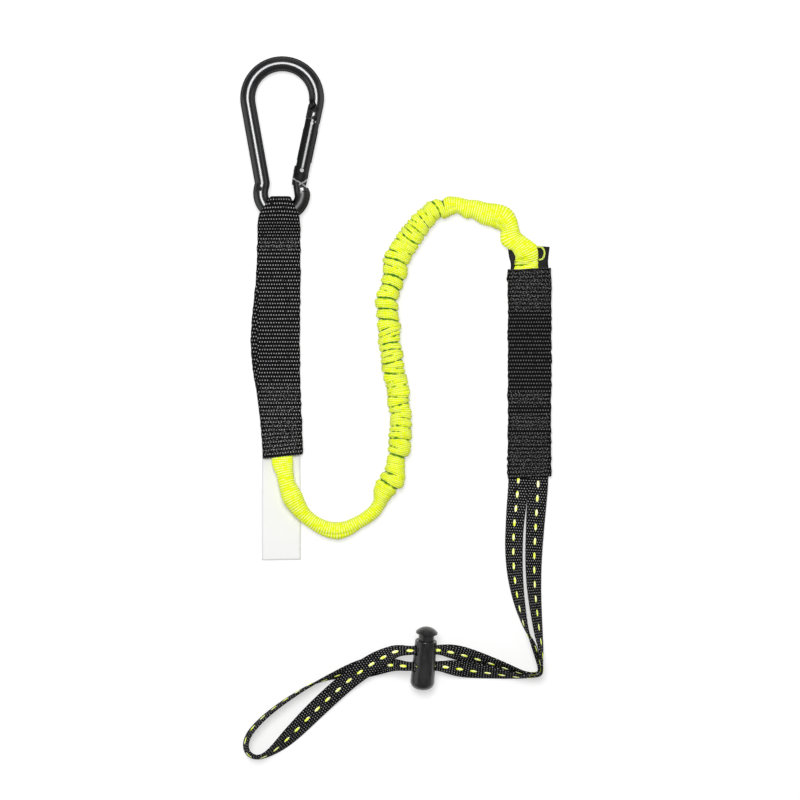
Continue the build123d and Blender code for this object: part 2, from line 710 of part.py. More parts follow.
BROAD_SIDE = [
    (1.0, -166.2, 14.2, 180, 7.0, 2.3),
    (-5.2, -169.2, 11.4, 178, 9.5, 1.8),
    (-13.4, -173.8, 9.0, 172, 11.5, 1.5),
    (-26.7, -183.0, 6.0, 157, *HALF),
    (-45.9, -200.4, 3.2, 160, *HALF),
    (-63.3, -218.0, 4.4, 142, *HALF),
    (-73.4, -226.8, 5.9, 115, *HALF),
    (-80.7, -230.8, 6.3, 96, *HALF),
    (-86.0, -230.4, 6.3, 90, *HALF),
    (-89.6, -226.8, 6.3, 90, *HALF),
]
THIN_SIDE = [
    (-89.9, -221.0, 6.3, 90, *HALF),
    (-86.4, -214.4, 6.3, 88, *HALF),
    (-76.5, -204.6, 6.2, 84, *HALF),
    (-61.5, -193.8, 6.2, 80, *HALF),
    (-46.5, -185.4, 6.1, 70, *HALF),
    (-31.1, -179.9, 4.6, 42, *HALF),
    (-17.7, -177.3, 2.6, 10, *HALF),
    (-8.8, -175.9, 4.4, 4, 10.0, 1.6),
    (-0.6, -174.9, 9.4, 2, 7.2, 2.2),
]
LOWER_BAND = [
    (34.6, -176.9, 6.2, 16, 9.5, 1.8),
    (44.7, -178.5, 4.7, 38, *HALF),
    (56.7, -179.8, 5.4, 52, *HALF),
    (69.3, -181.6, 6.1, 70, *HALF),
    (79.0, -182.5, 6.3, 83, *HALF),
    (84.8, -182.4, 6.3, 88, *HALF),
]
RIGHT_RUN = [
    (87.4, -180.2, 6.3, 90, *HALF),
    (87.6, -174.6, 6.3, 88, *HALF),
    (87.0, -165.6, 6.3, 77, *HALF),
    (85.5, -156.0, 6.1, 66, *HALF),
    (84.3, -145.2, 5.8, 58, *HALF),
    (82.9, -130.8, 5.3, 47, *HALF),
    (82.5, -112.8, 4.5, 36, *HALF),
    (83.7, -91.2, 3.6, 25, *HALF),
    (85.2, -76.0, 2.6, 12, *HALF),
    (85.85, -63.6, LOOP_END_Z, 0, *HALF),
    (85.85, -40.8, LOOP_END_Z, 0, *HALF),
]


def through(window, way):
    """Two stations of the gathered webbing, either side of a window of the lock."""
    places = [window - entry * way, window + entry * way]
    turn = 180 if way < 0 else 0
    return [(p.X, p.Y, p.Z, turn, BUNDLE_WIDTH, BUNDLE_WEB) for p in places]


LOOP = (
    LEFT_RUN
    + UPPER_BAND
    + through(upper, -1)
    + BROAD_SIDE
    + THIN_SIDE
    + through(lower, 1)
    + LOWER_BAND
    + RIGHT_RUN
)
places = [Vector(*station[:3]) for station in LOOP]
with BuildPart() as loop_strap:
    for index, (x, y, z, turn, width, thickness) in enumerate(LOOP):
        before, after = places[max(index - 1, 0)], places[min(index + 1, len(LOOP) - 1)]
        back = (places[index] - before).normalized() if index else Vector(0, 0, 0)
        ahead = (after - places[index]).normalized() if after != places[index] else Vector(0, 0, 0)
        way = (back + ahead).normalized()
        side = Vector(-way.Y, way.X, 0).normalized()
        up = way.cross(side)
        wide = side * cos(radians(turn)) + up * sin(radians(turn))
        with BuildSketch(Plane(origin=(x, y, z), x_dir=wide, z_dir=way)):
            Rectangle(width, thickness)
    loft(ruled=True)
save(loop_strap, "loop_strap")
print("loop length", round(sum((b - a).length for a, b in zip(places, places[1:])), 1))
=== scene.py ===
# %% [markdown]
# # A shock absorbing tool lanyard
#
# The lanyard lies flat on a white table: a carabiner, a sewn handle of black webbing, a
# bright elastic bungee, a second handle and a narrow choke loop with a cord lock. The
# CAD model gives every place and size, and this script gives it its looks, one piece to
# a cell. Everything is in metres, and +Z points up from the table.

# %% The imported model
from math import cos, pi, radians, sin

import bpy
import numpy as np
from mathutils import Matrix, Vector
from mathutils.bvhtree import BVHTree


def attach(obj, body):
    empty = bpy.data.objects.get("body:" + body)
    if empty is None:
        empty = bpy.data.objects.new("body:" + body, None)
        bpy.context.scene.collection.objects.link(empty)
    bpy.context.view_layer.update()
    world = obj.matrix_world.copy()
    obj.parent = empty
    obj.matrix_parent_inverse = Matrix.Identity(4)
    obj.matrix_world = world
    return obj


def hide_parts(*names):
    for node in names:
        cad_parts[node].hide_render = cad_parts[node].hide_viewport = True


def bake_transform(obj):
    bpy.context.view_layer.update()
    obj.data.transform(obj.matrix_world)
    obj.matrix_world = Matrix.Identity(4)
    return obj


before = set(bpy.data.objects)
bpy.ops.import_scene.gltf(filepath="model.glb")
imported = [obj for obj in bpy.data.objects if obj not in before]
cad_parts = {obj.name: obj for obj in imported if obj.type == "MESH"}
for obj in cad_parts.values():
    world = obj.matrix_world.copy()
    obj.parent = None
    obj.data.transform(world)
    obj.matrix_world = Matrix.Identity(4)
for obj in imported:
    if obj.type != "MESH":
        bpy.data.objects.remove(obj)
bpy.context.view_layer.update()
MM = 0.001
scene = bpy.context.scene
print("nodes in the frame:", len(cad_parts))

# %% [markdown]
# ## The camera
#
# The lanyard is seen straight from above. A short lens near the table would show the
# sides of the straps, and an orthographic camera would flatten the cord lock. A long lens
# from far up is between the two, as a copy stand gives it. The lens length follows from
# the height and from how much of the table the picture spans.

# %% Camera
VIEW_WIDTH = 480 * MM
VIEW_X, VIEW_Y = 2.7 * MM, -16.8 * MM
CAMERA_HEIGHT = 2.4

camera_data = bpy.data.cameras.new("camera")
camera_data.lens = camera_data.sensor_width * CAMERA_HEIGHT / VIEW_WIDTH
camera = bpy.data.objects.new("camera", camera_data)
camera.location = (VIEW_X, VIEW_Y, CAMERA_HEIGHT)
scene.collection.objects.link(camera)
scene.camera = camera
print("lens in millimetres:", round(camera_data.lens))

# %% [markdown]
# ## Shader values that do their own arithmetic
#
# A weave is a small formula of sines and masks. Wiring each Math node by hand hides that
# formula, so a class wraps a socket and turns `a * b` into a Math node. Every node comes
# from one function, `add_node`, which sets the node's own settings first and then the
# values or links of its sockets. The tree that places threads uses it too.

# %% Value and Finish
def fill(tree, socket, value):
    """Links an output to a socket, or gives the socket a value of its own."""
    value = value.socket if isinstance(value, Value) else value
    if isinstance(value, bpy.types.NodeSocket):
        tree.links.new(value, socket)
    else:
        socket.default_value = value


def add_node(tree, kind, settings=(), sockets=()):
    """A new node with its own settings, and with values or links on its sockets."""
    made = tree.nodes.new(kind)
    for setting, value in dict(settings).items():
        setattr(made, setting, value)
    for socket, value in dict(sockets).items():
        fill(tree, made.inputs[socket], value)
    return made


class Value:
    """An output socket of a shader, on which arithmetic adds Math nodes."""

    def __init__(self, finish, socket):
        self.finish = finish
        self.socket = socket

    def math(self, operation, *others):
        return self.finish.math(operation, self, *others)

    def __add__(self, other):
        return self.math("ADD", other)

    def __sub__(self, other):
        return self.math("SUBTRACT", other)

    def __rsub__(self, other):
        return self.finish.math("SUBTRACT", other, self)

    def __mul__(self, other):
        return self.math("MULTIPLY", other)

    def __truediv__(self, other):
        return self.math("DIVIDE", other)

    __radd__ = __add__
    __rmul__ = __mul__

    def wave(self, pitch, shift=0.0):
        """A cosine of this value: 1 at each whole pitch, -1 half way between."""
        return ((self / pitch + shift) * (2 * pi)).math("COSINE")

    def step(self, low, high):
        """0 at low and 1 at high, with a soft ramp between them. Low may be the higher one."""
        settings = {"interpolation_type": "SMOOTHSTEP"}
        return self.finish.node("ShaderNodeMapRange", settings, {0: self, 1: low, 2: high})


class Finish:
    """A material whose nodes are added one by one."""

    def __init__(self, name, **surface):
        self.material = bpy.data.materials.new(name)
        self.material.use_nodes = True
        self.tree = self.material.node_tree
        self.shader = self.tree.nodes["Principled BSDF"]
        self.surface(**surface)

    def surface(self, **values):
        """Values or links for sockets of the surface, with _ for each space in a name."""
        for socket, value in values.items():
            fill(self.tree, self.shader.inputs[socket.replace("_", " ")], value)

    def node(self, kind, settings=(), sockets=(), output=0):
        return Value(self, add_node(self.tree, kind, settings, sockets).outputs[output])

    def math(self, operation, *values):
        return self.node("ShaderNodeMath", {"operation": operation}, dict(enumerate(values)))

    def attribute(self, name):
        return self.node("ShaderNodeAttribute", {"attribute_name": name}, output="Fac")

    def axes(self, vector):
        """The x, y and z of a vector."""
        parts = add_node(self.tree, "ShaderNodeSeparateXYZ", {}, {0: vector})
        return [Value(self, part) for part in parts.outputs]

    def cloth(self):
        """How far along and how far across its own strip a point of cloth lies, in metres."""
        across, along, _ = self.axes(self.node("ShaderNodeUVMap", {"uv_map": "cloth"}))
        return along, across

    def place(self):
        """Where a point lies, in the piece's own coordinates."""
        return self.node("ShaderNodeTexCoord", output="Object")

    def noise(self, where, scale, detail=2.0):
        return self.node("ShaderNodeTexNoise", {}, {"Vector": where, "Scale": scale, "Detail": detail})

    def mix(self, factor, low, high):
        """Colour low where the factor is 0 and colour high where it is 1."""
        sockets = {0: factor, 6: low, 7: high}
        return self.node("ShaderNodeMix", {"data_type": "RGBA"}, sockets, output=2)

    def bump(self, height, distance):
        return self.node("ShaderNodeBump", {}, {"Height": height, "Distance": distance})


print("sockets of a new finish:", len(Finish("trial").shader.inputs))
bpy.data.materials.remove(bpy.data.materials["trial"])

# %% [markdown]
# ## Table and light
#
# The table is white and catches the soft shadow. Rays that come straight from the camera,
# or by way of metal, also see a little light of the table's own, so that it reads as pure
# white without brighter lamps, which would bleach the straps. One broad lamp nearly above
# draws the thin bright line along the black rod, and three weak ones fill the sides.

# %% Table
TABLE_WHITE = 0.5
TABLE_GLOW = 0.52

table_finish = Finish(
    "white_table", Base_Color=(TABLE_WHITE,) * 3 + (1,), Roughness=0.9, Specular_IOR_Level=0.0
)
rays = add_node(table_finish.tree, "ShaderNodeLightPath").outputs
seen = table_finish.math("MAXIMUM", rays["Is Camera Ray"], rays["Is Glossy Ray"])
seen = table_finish.math("MAXIMUM", seen, rays["Is Transmission Ray"])
lit = {"Color": (1, 1, 1, 1), "Strength": seen * TABLE_GLOW}
glow = table_finish.node("ShaderNodeEmission", {}, lit)
both = table_finish.node("ShaderNodeAddShader", {}, {0: table_finish.shader.outputs[0], 1: glow})
fill(table_finish.tree, table_finish.tree.nodes["Material Output"].inputs["Surface"], both)

TABLE_HALF = 30.0
TABLE_DROP = -0.15 * MM
corners = [(x * TABLE_HALF, y * TABLE_HALF, TABLE_DROP) for x, y in ((-1, -1), (1, -1), (1, 1), (-1, 1))]
table_mesh = bpy.data.meshes.new("table")
table_mesh.from_pydata(corners, [], [(0, 1, 2, 3)])
table_mesh.materials.append(table_finish.material)
table = bpy.data.objects.new("table", table_mesh)
scene.collection.objects.link(table)

# %% Lamps and world
LAMPS = {
    # name: (place in metres, size in metres, watts)
    "key": ((-0.1, 0.34, 1.5), 0.64, 20.0),
    "fill_left": ((-1.6, -0.3, 0.5), 1.2, 3.2),
    "fill_right": ((1.6, 0.3, 0.5), 1.2, 2.4),
    "fill_back": ((0.1, 1.7, 0.6), 1.2, 1.2),
}
for name, (spot, size, watts) in LAMPS.items():
    lamp_data = bpy.data.lights.new(name, "AREA")
    lamp_data.size = size
    lamp_data.energy = watts
    lamp = bpy.data.objects.new(name, lamp_data)
    lamp.location = spot
    aim = -lamp.location
    lamp.rotation_euler = aim.to_track_quat("-Z", "Y").to_euler()
    lamp.visible_camera = False
    scene.collection.objects.link(lamp)

WORLD_LIGHT = 0.28
world = bpy.data.worlds.new("room")
scene.world = world
world.use_nodes = True
sky = world.node_tree.nodes["Background"]
sky.inputs["Color"].default_value = (1, 1, 1, 1)
sky.inputs["Strength"].default_value = WORLD_LIGHT
scene.view_settings.view_transform = "Standard"
print("lamps:", len(LAMPS))

# %% [markdown]
# ## Tools for long soft things
#
# Webbing, sleeve, tag and core are all strips or tubes that follow a line. A smooth NURBS
# curve is steered by a few given points, and Blender works out the points between. A second
# curve of the same kind can carry other values along it, such as a strip's turn and width.
# `skin` then joins rings of points into one closed mesh, with a UV map in metres that the
# weaves read.

# %% Lines and skins
def along_nurbs(places, steps=12):
    """Points along the smooth curve that a list of control points steers."""
    curve = bpy.data.curves.new("line", "CURVE")
    curve.dimensions = "3D"
    spline = curve.splines.new("NURBS")
    spline.points.add(len(places) - 1)
    for point, spot in zip(spline.points, places):
        point.co = (*spot, 1.0)
    spline.order_u = 3
    spline.use_endpoint_u = True
    curve.resolution_u = steps
    spline.resolution_u = steps
    holder = bpy.data.objects.new("line", curve)
    scene.collection.objects.link(holder)
    shaped = holder.evaluated_get(bpy.context.evaluated_depsgraph_get())
    mesh = bpy.data.meshes.new_from_object(shaped)
    found = np.array([vertex.co[:] for vertex in mesh.vertices])
    bpy.data.objects.remove(holder)
    bpy.data.curves.remove(curve)
    bpy.data.meshes.remove(mesh)
    return found


def distances(line):
    """How far along a line each of its points lies."""
    runs = np.linalg.norm(np.diff(line, axis=0), axis=1)
    return np.concatenate([[0.0], np.cumsum(runs)])


def even(line, step, *others):
    """The line, and others that belong to the same points, at even distances."""
    along = distances(line)
    spots = np.linspace(0, along[-1], max(2, round(along[-1] / step) + 1))
    read = [
        np.stack([np.interp(spots, along, values[:, i]) for i in range(values.shape[1])], 1)
        for values in (line,) + others
    ]
    return [spots] + read


def directions(line):
    """The unit vector along a line at each of its points."""
    ways = np.gradient(line, axis=0)
    return ways / np.linalg.norm(ways, axis=1, keepdims=True)


def unit(vectors):
    return vectors / np.linalg.norm(vectors, axis=-1, keepdims=True)


def level_frame(line):
    """Unit vectors at each point: along the line, level to its left, and square to both."""
    ways = directions(line)
    left = unit(np.stack([-ways[:, 1], ways[:, 0], np.zeros(len(ways))], 1))
    return ways, left, np.cross(ways, left)


def finished(name, mesh, material, body):
    """A piece at the origin with a finish, riding on a body of the frame."""
    mesh.name = name
    mesh.materials.clear()
    mesh.materials.append(material.material)
    piece = bpy.data.objects.new(name, mesh)
    scene.collection.objects.link(piece)
    if body:
        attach(piece, body)
    return piece


def skin(rings, along, across, values=()):
    """A closed mesh over rings of points, capped at both ends.

    along has one distance for each ring, or one for each point. across has one more value
    than a ring has points, because the last face of a ring ends where the first begins.
    """
    count, around = rings.shape[:2]
    mesh = bpy.data.meshes.new("skin")
    ring, column = np.meshgrid(np.arange(count - 1), np.arange(around), indexing="ij")
    corners = [(ring, column), (ring, column + 1), (ring + 1, column + 1), (ring + 1, column)]
    quads = np.stack([row * around + place % around for row, place in corners], -1).reshape(-1, 4)
    last = (count - 1) * around
    caps = [list(range(around))[::-1], list(range(last, last + around))]
    mesh.from_pydata(rings.reshape(-1, 3).tolist(), [], quads.tolist() + caps)
    along = np.broadcast_to(np.reshape(along, (count, -1)), (count, around))
    across = np.broadcast_to(across, (count, around + 1))
    corner_across = np.stack([across[row, place] for row, place in corners], -1)
    corner_along = np.stack([along[row, place % around] for row, place in corners], -1)
    uv = np.stack([corner_across, corner_along], -1).reshape(-1, 2)
    ends = [[0.0, 0.0]] * (2 * around)
    layer = mesh.uv_layers.new(name="cloth")
    layer.data.foreach_set("uv", np.concatenate([uv, ends]).astype(np.float32).ravel())
    for name, numbers in dict(values).items():
        attribute = mesh.attributes.new(name, "FLOAT", "POINT")
        attribute.data.foreach_set("value", np.asarray(numbers, np.float32).ravel())
    mesh.polygons.foreach_set("use_smooth", [True] * len(mesh.polygons))
    mesh.update()
    return mesh


def tube(line, spots, radius, around):
    """A round tube along a line."""
    _, left, up = level_frame(line)
    turn = np.linspace(0, 2 * pi, around, endpoint=False)[:, None]
    rings = line[:, None] + radius * (left[:, None] * np.cos(turn) + up[:, None] * np.sin(turn))
    return skin(rings, spots, np.linspace(0, 2 * pi, around + 1) * radius)


slope = np.array([[0, 0, 0], [0.3, 0.4, 0]])
print("a line from 0 to (0.3, 0.4) is", round(float(distances(slope)[-1]), 3), "long")

# %% [markdown]
# ## The bungee's line
#
# The bungee is an elastic core in a woven sleeve that is about twice as long as the core,
# so the sleeve gathers into puffs. It leaves the left handle, swings low over the tag,
# climbs in an S and drops into the right handle. Its route is a list of points given in
# millimetres, the same as the CAD tube's, and one NURBS spline smooths them.

# %% Bungee line
BUNGEE_REST = 7.1  # height of the middle where the sleeve lies on the table
ROUTE_START = [(-68.0, -33.0, 3.2), (-67.5, -51.0, 3.4)]
ROUTE_PLAN = [
    (-66.0, -61.8),
    (-60.3, -78.0),
    (-49.5, -90.9),
    (-34.5, -95.7),
    (-20.1, -90.0),
    (-8.7, -78.0),
    (-1.5, -63.0),
    (1.8, -46.8),
    (3.0, -29.4),
    (1.2, -12.0),
    (-2.4, 6.0),
    (-4.2, 23.4),
    (-4.5, 41.4),
    (-1.2, 58.2),
    (3.9, 74.4),
    (12.6, 88.0),
    (23.0, 96.8),
    (33.0, 99.2),
    (44.0, 97.8),
    (54.0, 95.2),
    (63.0, 93.4),
    (68.4, 88.2),
    (70.0, 80.4),
    (75.0, 75.0),
    (78.4, 69.2),
]
ROUTE_END = [(79.0, 62.6, 4.0), (80.2, 45.0, 4.0)]
bungee_route = ROUTE_START + [(x, y, BUNGEE_REST) for x, y in ROUTE_PLAN] + ROUTE_END
bungee_line = along_nurbs([[v * MM for v in point] for point in bungee_route])
print("bungee from end to end:", round(float(distances(bungee_line)[-1]), 4))

# %% [markdown]
# ## The gathered sleeve
#
# Cloth simulation could gather a sleeve, but its puffs would fall where they like. Here a
# table gives the sleeve's sides along the line, and a second table gives every crease: how
# far along it lies at the right side, on top and at the left side, where it is sharp, and
# how deep it is. The sleeve swells between two creases like a small bag. The warped
# distance between creases also becomes the cloth's own coordinate, so that the ribs of the
# weave run along each puff, as they do in real cloth.

# %% Sleeve shape
# distance along, reach to the right, reach to the left and half height in millimetres, and
# how loosely the sleeve is gathered there, from 0 to 1
SLEEVE_SHAPE = [
    (0, 7.2, 7.2, 1.3, 0.0),
    (18, 7.1, 5.7, 1.6, 0.0),
    (22, 7.0, 5.6, 2.2, 0.0),
    (28, 5.3, 4.7, 3.6, 0.1),
    (34, 5.7, 4.1, 4.4, 0.1),
    (43, 6.7, 5.7, 5.5, 0.1),
    (55, 4.9, 4.0, 4.8, 0.0),
    (64, 4.4, 4.2, 4.6, 0.0),
    (78, 6.0, 4.5, 4.9, 0.0),
    (91, 3.6, 4.2, 4.2, 0.0),
    (103, 4.9, 3.1, 4.3, 0.1),
    (108, 4.3, 3.7, 4.5, 0.3),
    (113, 4.0, 7.0, 5.4, 0.6),
    (119, 5.7, 7.9, 6.0, 1.0),
    (124, 8.3, 7.2, 6.2, 1.0),
    (129, 7.0, 5.9, 6.0, 1.0),
    (137, 4.9, 5.5, 5.4, 1.0),
    (142, 7.5, 6.0, 6.2, 1.0),
    (150, 7.5, 7.0, 6.3, 1.0),
    (163, 7.3, 5.9, 6.1, 1.0),
    (169, 6.6, 6.9, 6.2, 1.0),
    (176, 7.7, 6.6, 6.3, 1.0),
    (185, 7.6, 6.5, 6.3, 1.0),
    (196, 7.1, 7.1, 6.3, 1.0),
    (201, 7.9, 6.3, 6.3, 1.0),
    (208, 6.5, 7.3, 6.2, 1.0),
    (217, 8.1, 6.5, 6.4, 1.0),
    (223, 6.5, 7.0, 6.2, 1.0),
    (228, 6.4, 7.5, 6.2, 1.0),
    (232, 5.1, 8.7, 6.2, 1.0),
    (240, 6.7, 6.7, 6.2, 1.0),
    (250, 7.8, 7.2, 6.4, 1.0),
    (256, 6.9, 9.6, 6.5, 1.0),
    (264, 7.9, 7.6, 6.4, 1.0),
    (272, 8.4, 7.1, 6.4, 1.0),
    (280, 8.3, 6.6, 6.4, 1.0),
    (290, 6.8, 6.3, 6.2, 1.0),
    (295, 5.6, 7.5, 6.1, 1.0),
    (300, 6.7, 5.5, 5.8, 0.9),
    (304, 5.4, 6.4, 5.5, 0.5),
    (309, 3.6, 6.0, 5.0, 0.2),
    (315, 6.2, 5.3, 5.2, 0.2),
    (319, 5.1, 6.2, 5.2, 0.1),
    (325, 7.3, 6.0, 5.3, 0.1),
    (337, 7.8, 7.3, 5.1, 0.1),
    (345, 6.0, 5.0, 4.8, 0.1),
    (350, 8.1, 5.2, 4.2, 0.1),
    (356, 5.3, 6.3, 3.4, 0.1),
    (361, 5.8, 8.4, 2.8, 0.2),
    (366, 7.8, 7.2, 2.0, 0.7),
    (370, 8.2, 6.6, 1.6, 0.8),
    (390, 8.0, 7.4, 1.4, 0.0),
]
# distance along at the right side, on top and at the left side in millimetres, where it is
# sharp (1: more to the left, -1: more to the right, 0: all round), and its depth from 0 to 1
CREASES = [
    (19.0, 19.5, 19.0, 0, 0.3),
    (21.6, 21.9, 21.2, 0, 0.2),
    (120.3, 121.0, 122.6, 0, 0.8),
    (127.2, 127.6, 128.0, 1, 0.9),
    (132.6, 133.4, 132.8, 0, 0.35),
    (138.8, 139.2, 140.0, 0, 1.0),
    (142.6, 143.4, 144.8, 1, 0.8),
    (148.8, 149.7, 149.0, 0, 1.0),
    (152.2, 153.6, 153.2, 1, 0.8),
    (155.4, 157.0, 156.4, 0, 0.8),
    (160.6, 162.0, 160.4, -1, 0.9),
    (164.4, 165.1, 164.4, 1, 0.9),
    (170.2, 169.4, 168.5, 0, 0.8),
    (172.8, 174.2, 175.4, 0, 0.8),
    (178.6, 178.0, 177.2, 1, 0.6),
    (180.6, 180.9, 180.2, 0, 0.8),
    (185.0, 184.2, 183.0, 1, 0.6),
    (187.5, 188.4, 190.2, 0, 1.0),
    (190.7, 191.5, 193.0, -1, 0.8),
    (196.4, 195.3, 195.0, 0, 1.0),
    (200.0, 199.4, 198.4, 1, 0.9),
    (202.4, 203.1, 202.0, 0, 0.9),
    (207.0, 207.1, 206.0, 0, 0.9),
    (211.7, 210.0, 208.6, -1, 0.8),
    (214.3, 212.4, 210.4, 0, 0.9),
    (217.0, 216.0, 213.8, 1, 0.9),
    (219.8, 221.0, 221.6, 0, 1.0),
    (226.3, 227.5, 227.0, 0, 1.0),
    (232.9, 233.9, 233.3, 0, 1.0),
    (236.4, 237.5, 238.4, 1, 0.5),
    (239.0, 241.3, 241.0, 0, 1.0),
    (246.0, 247.7, 247.0, 0, 1.0),
    (251.8, 252.4, 253.0, 1, 0.8),
    (255.8, 256.9, 256.3, 0, 1.0),
    (260.4, 261.3, 261.6, 1, 0.8),
    (262.8, 263.7, 264.4, -1, 0.8),
    (267.0, 267.8, 268.4, 1, 0.7),
    (271.6, 271.2, 273.0, 0, 1.0),
    (275.2, 275.4, 276.0, 1, 0.7),
    (278.5, 278.8, 278.4, 0, 1.0),
    (282.2, 282.0, 281.3, 1, 0.8),
    (284.8, 285.7, 286.0, 0, 0.8),
    (289.0, 289.4, 289.8, 1, 0.7),
    (292.4, 292.4, 292.0, -1, 0.7),
    (296.6, 297.0, 295.4, 0, 0.9),
    (301.0, 300.8, 300.4, 1, 0.9),
    (364.4, 364.8, 364.4, -1, 0.7),
    (366.2, 366.4, 365.8, -1, 0.9),
    (367.5, 367.6, 367.2, 0, 0.8),
    (368.9, 368.9, 368.6, -1, 1.0),
]
# long folds: start and end along, how far to the left of the middle at both, and depth, all
# in millimetres
FOLDS = [
    (66.0, 90.0, -3.4, -2.6, 0.6),
    (302.0, 311.0, -2.0, 0.6, 1.1),
    (330.0, 352.0, -4.4, -3.6, 0.7),
]
FILLER_PITCH, FILLED_FROM = 6.0, 10  # long smooth stretches are divided by creases of no depth
BEYOND = 12  # how far beyond both ends the first and the last crease lie
SLACK = 1.35  # cloth in a puff, for each unit of its length
RING_STEP = 0.4 * MM
AROUND = 84
SLEEVE_SEED = 11

random = np.random.default_rng(SLEEVE_SEED)
spots, line = even(bungee_line, RING_STEP)
_, side, up = level_frame(line)
along_mm = spots / MM
length_mm = along_mm[-1]
shape = np.array(SLEEVE_SHAPE)
reach_right, reach_left, half_height, gather = (
    np.interp(along_mm, shape[:, 0], shape[:, column]) for column in (1, 2, 3, 4)
)

all_creases = []
for crease in CREASES + [(length_mm + BEYOND,) * 3 + (0, 0.0)]:
    last = all_creases[-1][1] if all_creases else -BEYOND
    gaps = round((crease[1] - last) / FILLER_PITCH) if crease[1] - last > FILLED_FROM else 1
    fillers = [last + (crease[1] - last) * number / gaps for number in range(1, gaps)]
    all_creases += [(middle, middle, middle, 0, 0.0) for middle in fillers] + [crease]
at_right, on_top, at_left, where_sharp, depth = np.array(all_creases).T[:, :, None]
creases = len(all_creases)
print("creases along the sleeve:", len(CREASES), "and fillers:", creases - len(CREASES))

# %% Sleeve mesh
LEAST_GAP = 1e-3  # between two creases where their lines would cross
SHARP_ON_TOP, SHARPER_TO_SIDE = 0.66, 0.95  # for a crease that is sharp at one side
PUFF_ROUNDNESS = 0.45
USUAL_PUFF, PUFF_SIZES = 5.0, (0.5, 1.2)
WRINKLES, WRINKLE_SUM = 5, 2.2
CREASE_DEPTH, PUFF_SWELL, WRINKLE_HEIGHT = 2.1, 0.8, 0.5
DEPTH_WHERE_FLAT = 0.35
TOP_LIFT = 0.85
FOLD_HALF = 0.75
TAG_ROOM = ([46, 58], [1.0, 0.25])  # distances along, and the height that stays free there
SINKING = ([24, 40, 343, 360], [0, 1, 1, 0])  # distances along, and the share of the sinking
MOST_SINKING = 9
TABLE_GAP, BELOW_GAP = 0.1 * MM, 0.02  # what lies lower is pressed flat to this share
SLEEVE_ROUND = 6.2 * MM

angles = np.linspace(0, 2 * pi, AROUND, endpoint=False)
leftward = np.cos(angles)
lines_of_crease = (
    on_top + (at_left - at_right) / 2 * leftward + ((at_left + at_right) / 2 - on_top) * leftward**2
)
floor = np.arange(creases)[:, None] * LEAST_GAP
lines_of_crease = np.maximum.accumulate(lines_of_crease - floor, axis=0) + floor
number = np.stack(
    [np.interp(along_mm, lines_of_crease[:, column], np.arange(creases)) for column in range(AROUND)], 1
)
part = number % 1.0
which = np.floor(number).astype(int)
nearest = np.minimum(which + (part > 0.5), creases - 1)
one_sided = np.clip(SHARP_ON_TOP + SHARPER_TO_SIDE * where_sharp[nearest, 0] * leftward, 0, 1)
sharp = depth[nearest, 0] * np.where(where_sharp[nearest, 0] == 0, 1.0, one_sided)
puff = 1 - (1 - (4 * part * (1 - part)) ** PUFF_ROUNDNESS) * sharp
room = np.gradient(lines_of_crease, axis=0)
size = np.clip(room[which, np.arange(AROUND)] / USUAL_PUFF, *PUFF_SIZES)

# A few shorter wrinkles cross the puffs over part of the way round.
wrinkle = np.zeros_like(puff)
for order in range(WRINKLES):
    turn, beat = random.uniform(0, 2 * pi), random.uniform(1.1, 2.3)
    patch = np.cos(angles * (1 + order % 3) + turn + along_mm[:, None] * 0.13 * (order - 2))
    wrinkle += np.cos(number * beat * 2 * pi + turn + 1.5 * np.sin(angles + turn)) * np.clip(patch, 0, 1)
wrinkle /= WRINKLE_SUM

loose = gather[:, None]
hollow = (1 - puff) * CREASE_DEPTH * np.clip(DEPTH_WHERE_FLAT + loose, 0, 1)
lift = loose * (PUFF_SWELL * (size - 1) + WRINKLE_HEIGHT * wrinkle) * puff - hollow
reach = np.where(leftward > 0, reach_left[:, None], reach_right[:, None])
across_mm = (reach + lift) * leftward
above_mm = (half_height[:, None] + lift * TOP_LIFT) * np.sin(angles)
groove = np.zeros_like(above_mm)
for start, end, first, last, deep in FOLDS:
    share = np.clip((along_mm - start) / (end - start), 0, 1)[:, None]
    aside = (across_mm - (first + (last - first) * share)) / FOLD_HALF
    groove += deep * np.sin(pi * share) ** 0.5 * np.exp(-(aside**2)) * (np.sin(angles) > 0)
above_mm -= groove

# The sleeve sinks until it rests on the table, or on the tag that it crosses.
free = half_height + np.interp(along_mm, *TAG_ROOM)
drop = np.clip(line[:, 2] / MM - free, 0, MOST_SINKING) * np.interp(along_mm, *SINKING)
line[:, 2] -= drop * MM
rings = line[:, None] + (side[:, None] * across_mm[..., None] + up[:, None] * above_mm[..., None]) * MM
over = rings[..., 2] - TABLE_GAP
rings[..., 2] = np.where(over < 0, TABLE_GAP + over * BELOW_GAP, rings[..., 2])

# Cloth that is gathered is longer than the stretch it lies on.
slack = 1 + (SLACK - 1) * np.interp(on_top[1:, 0], shape[:, 0], shape[:, 4])
cloth_at = np.concatenate([[0], np.cumsum(np.diff(on_top[:, 0]) * slack)])
cloth_along = np.interp(number, np.arange(creases), cloth_at) * MM
cloth_across = np.linspace(0, 2 * pi, AROUND + 1) * SLEEVE_ROUND
# painted shade: the colour is darkened where a point lies deep in a crease or in a long fold's groove
crease_shade = np.clip((1 - puff) * 1.25 + groove * 0.35, 0, 1)
full = loose * puff * size
sleeve_mesh = skin(rings, cloth_along, cloth_across, {"crease": crease_shade, "full": full})
print("sleeve faces:", len(sleeve_mesh.polygons))
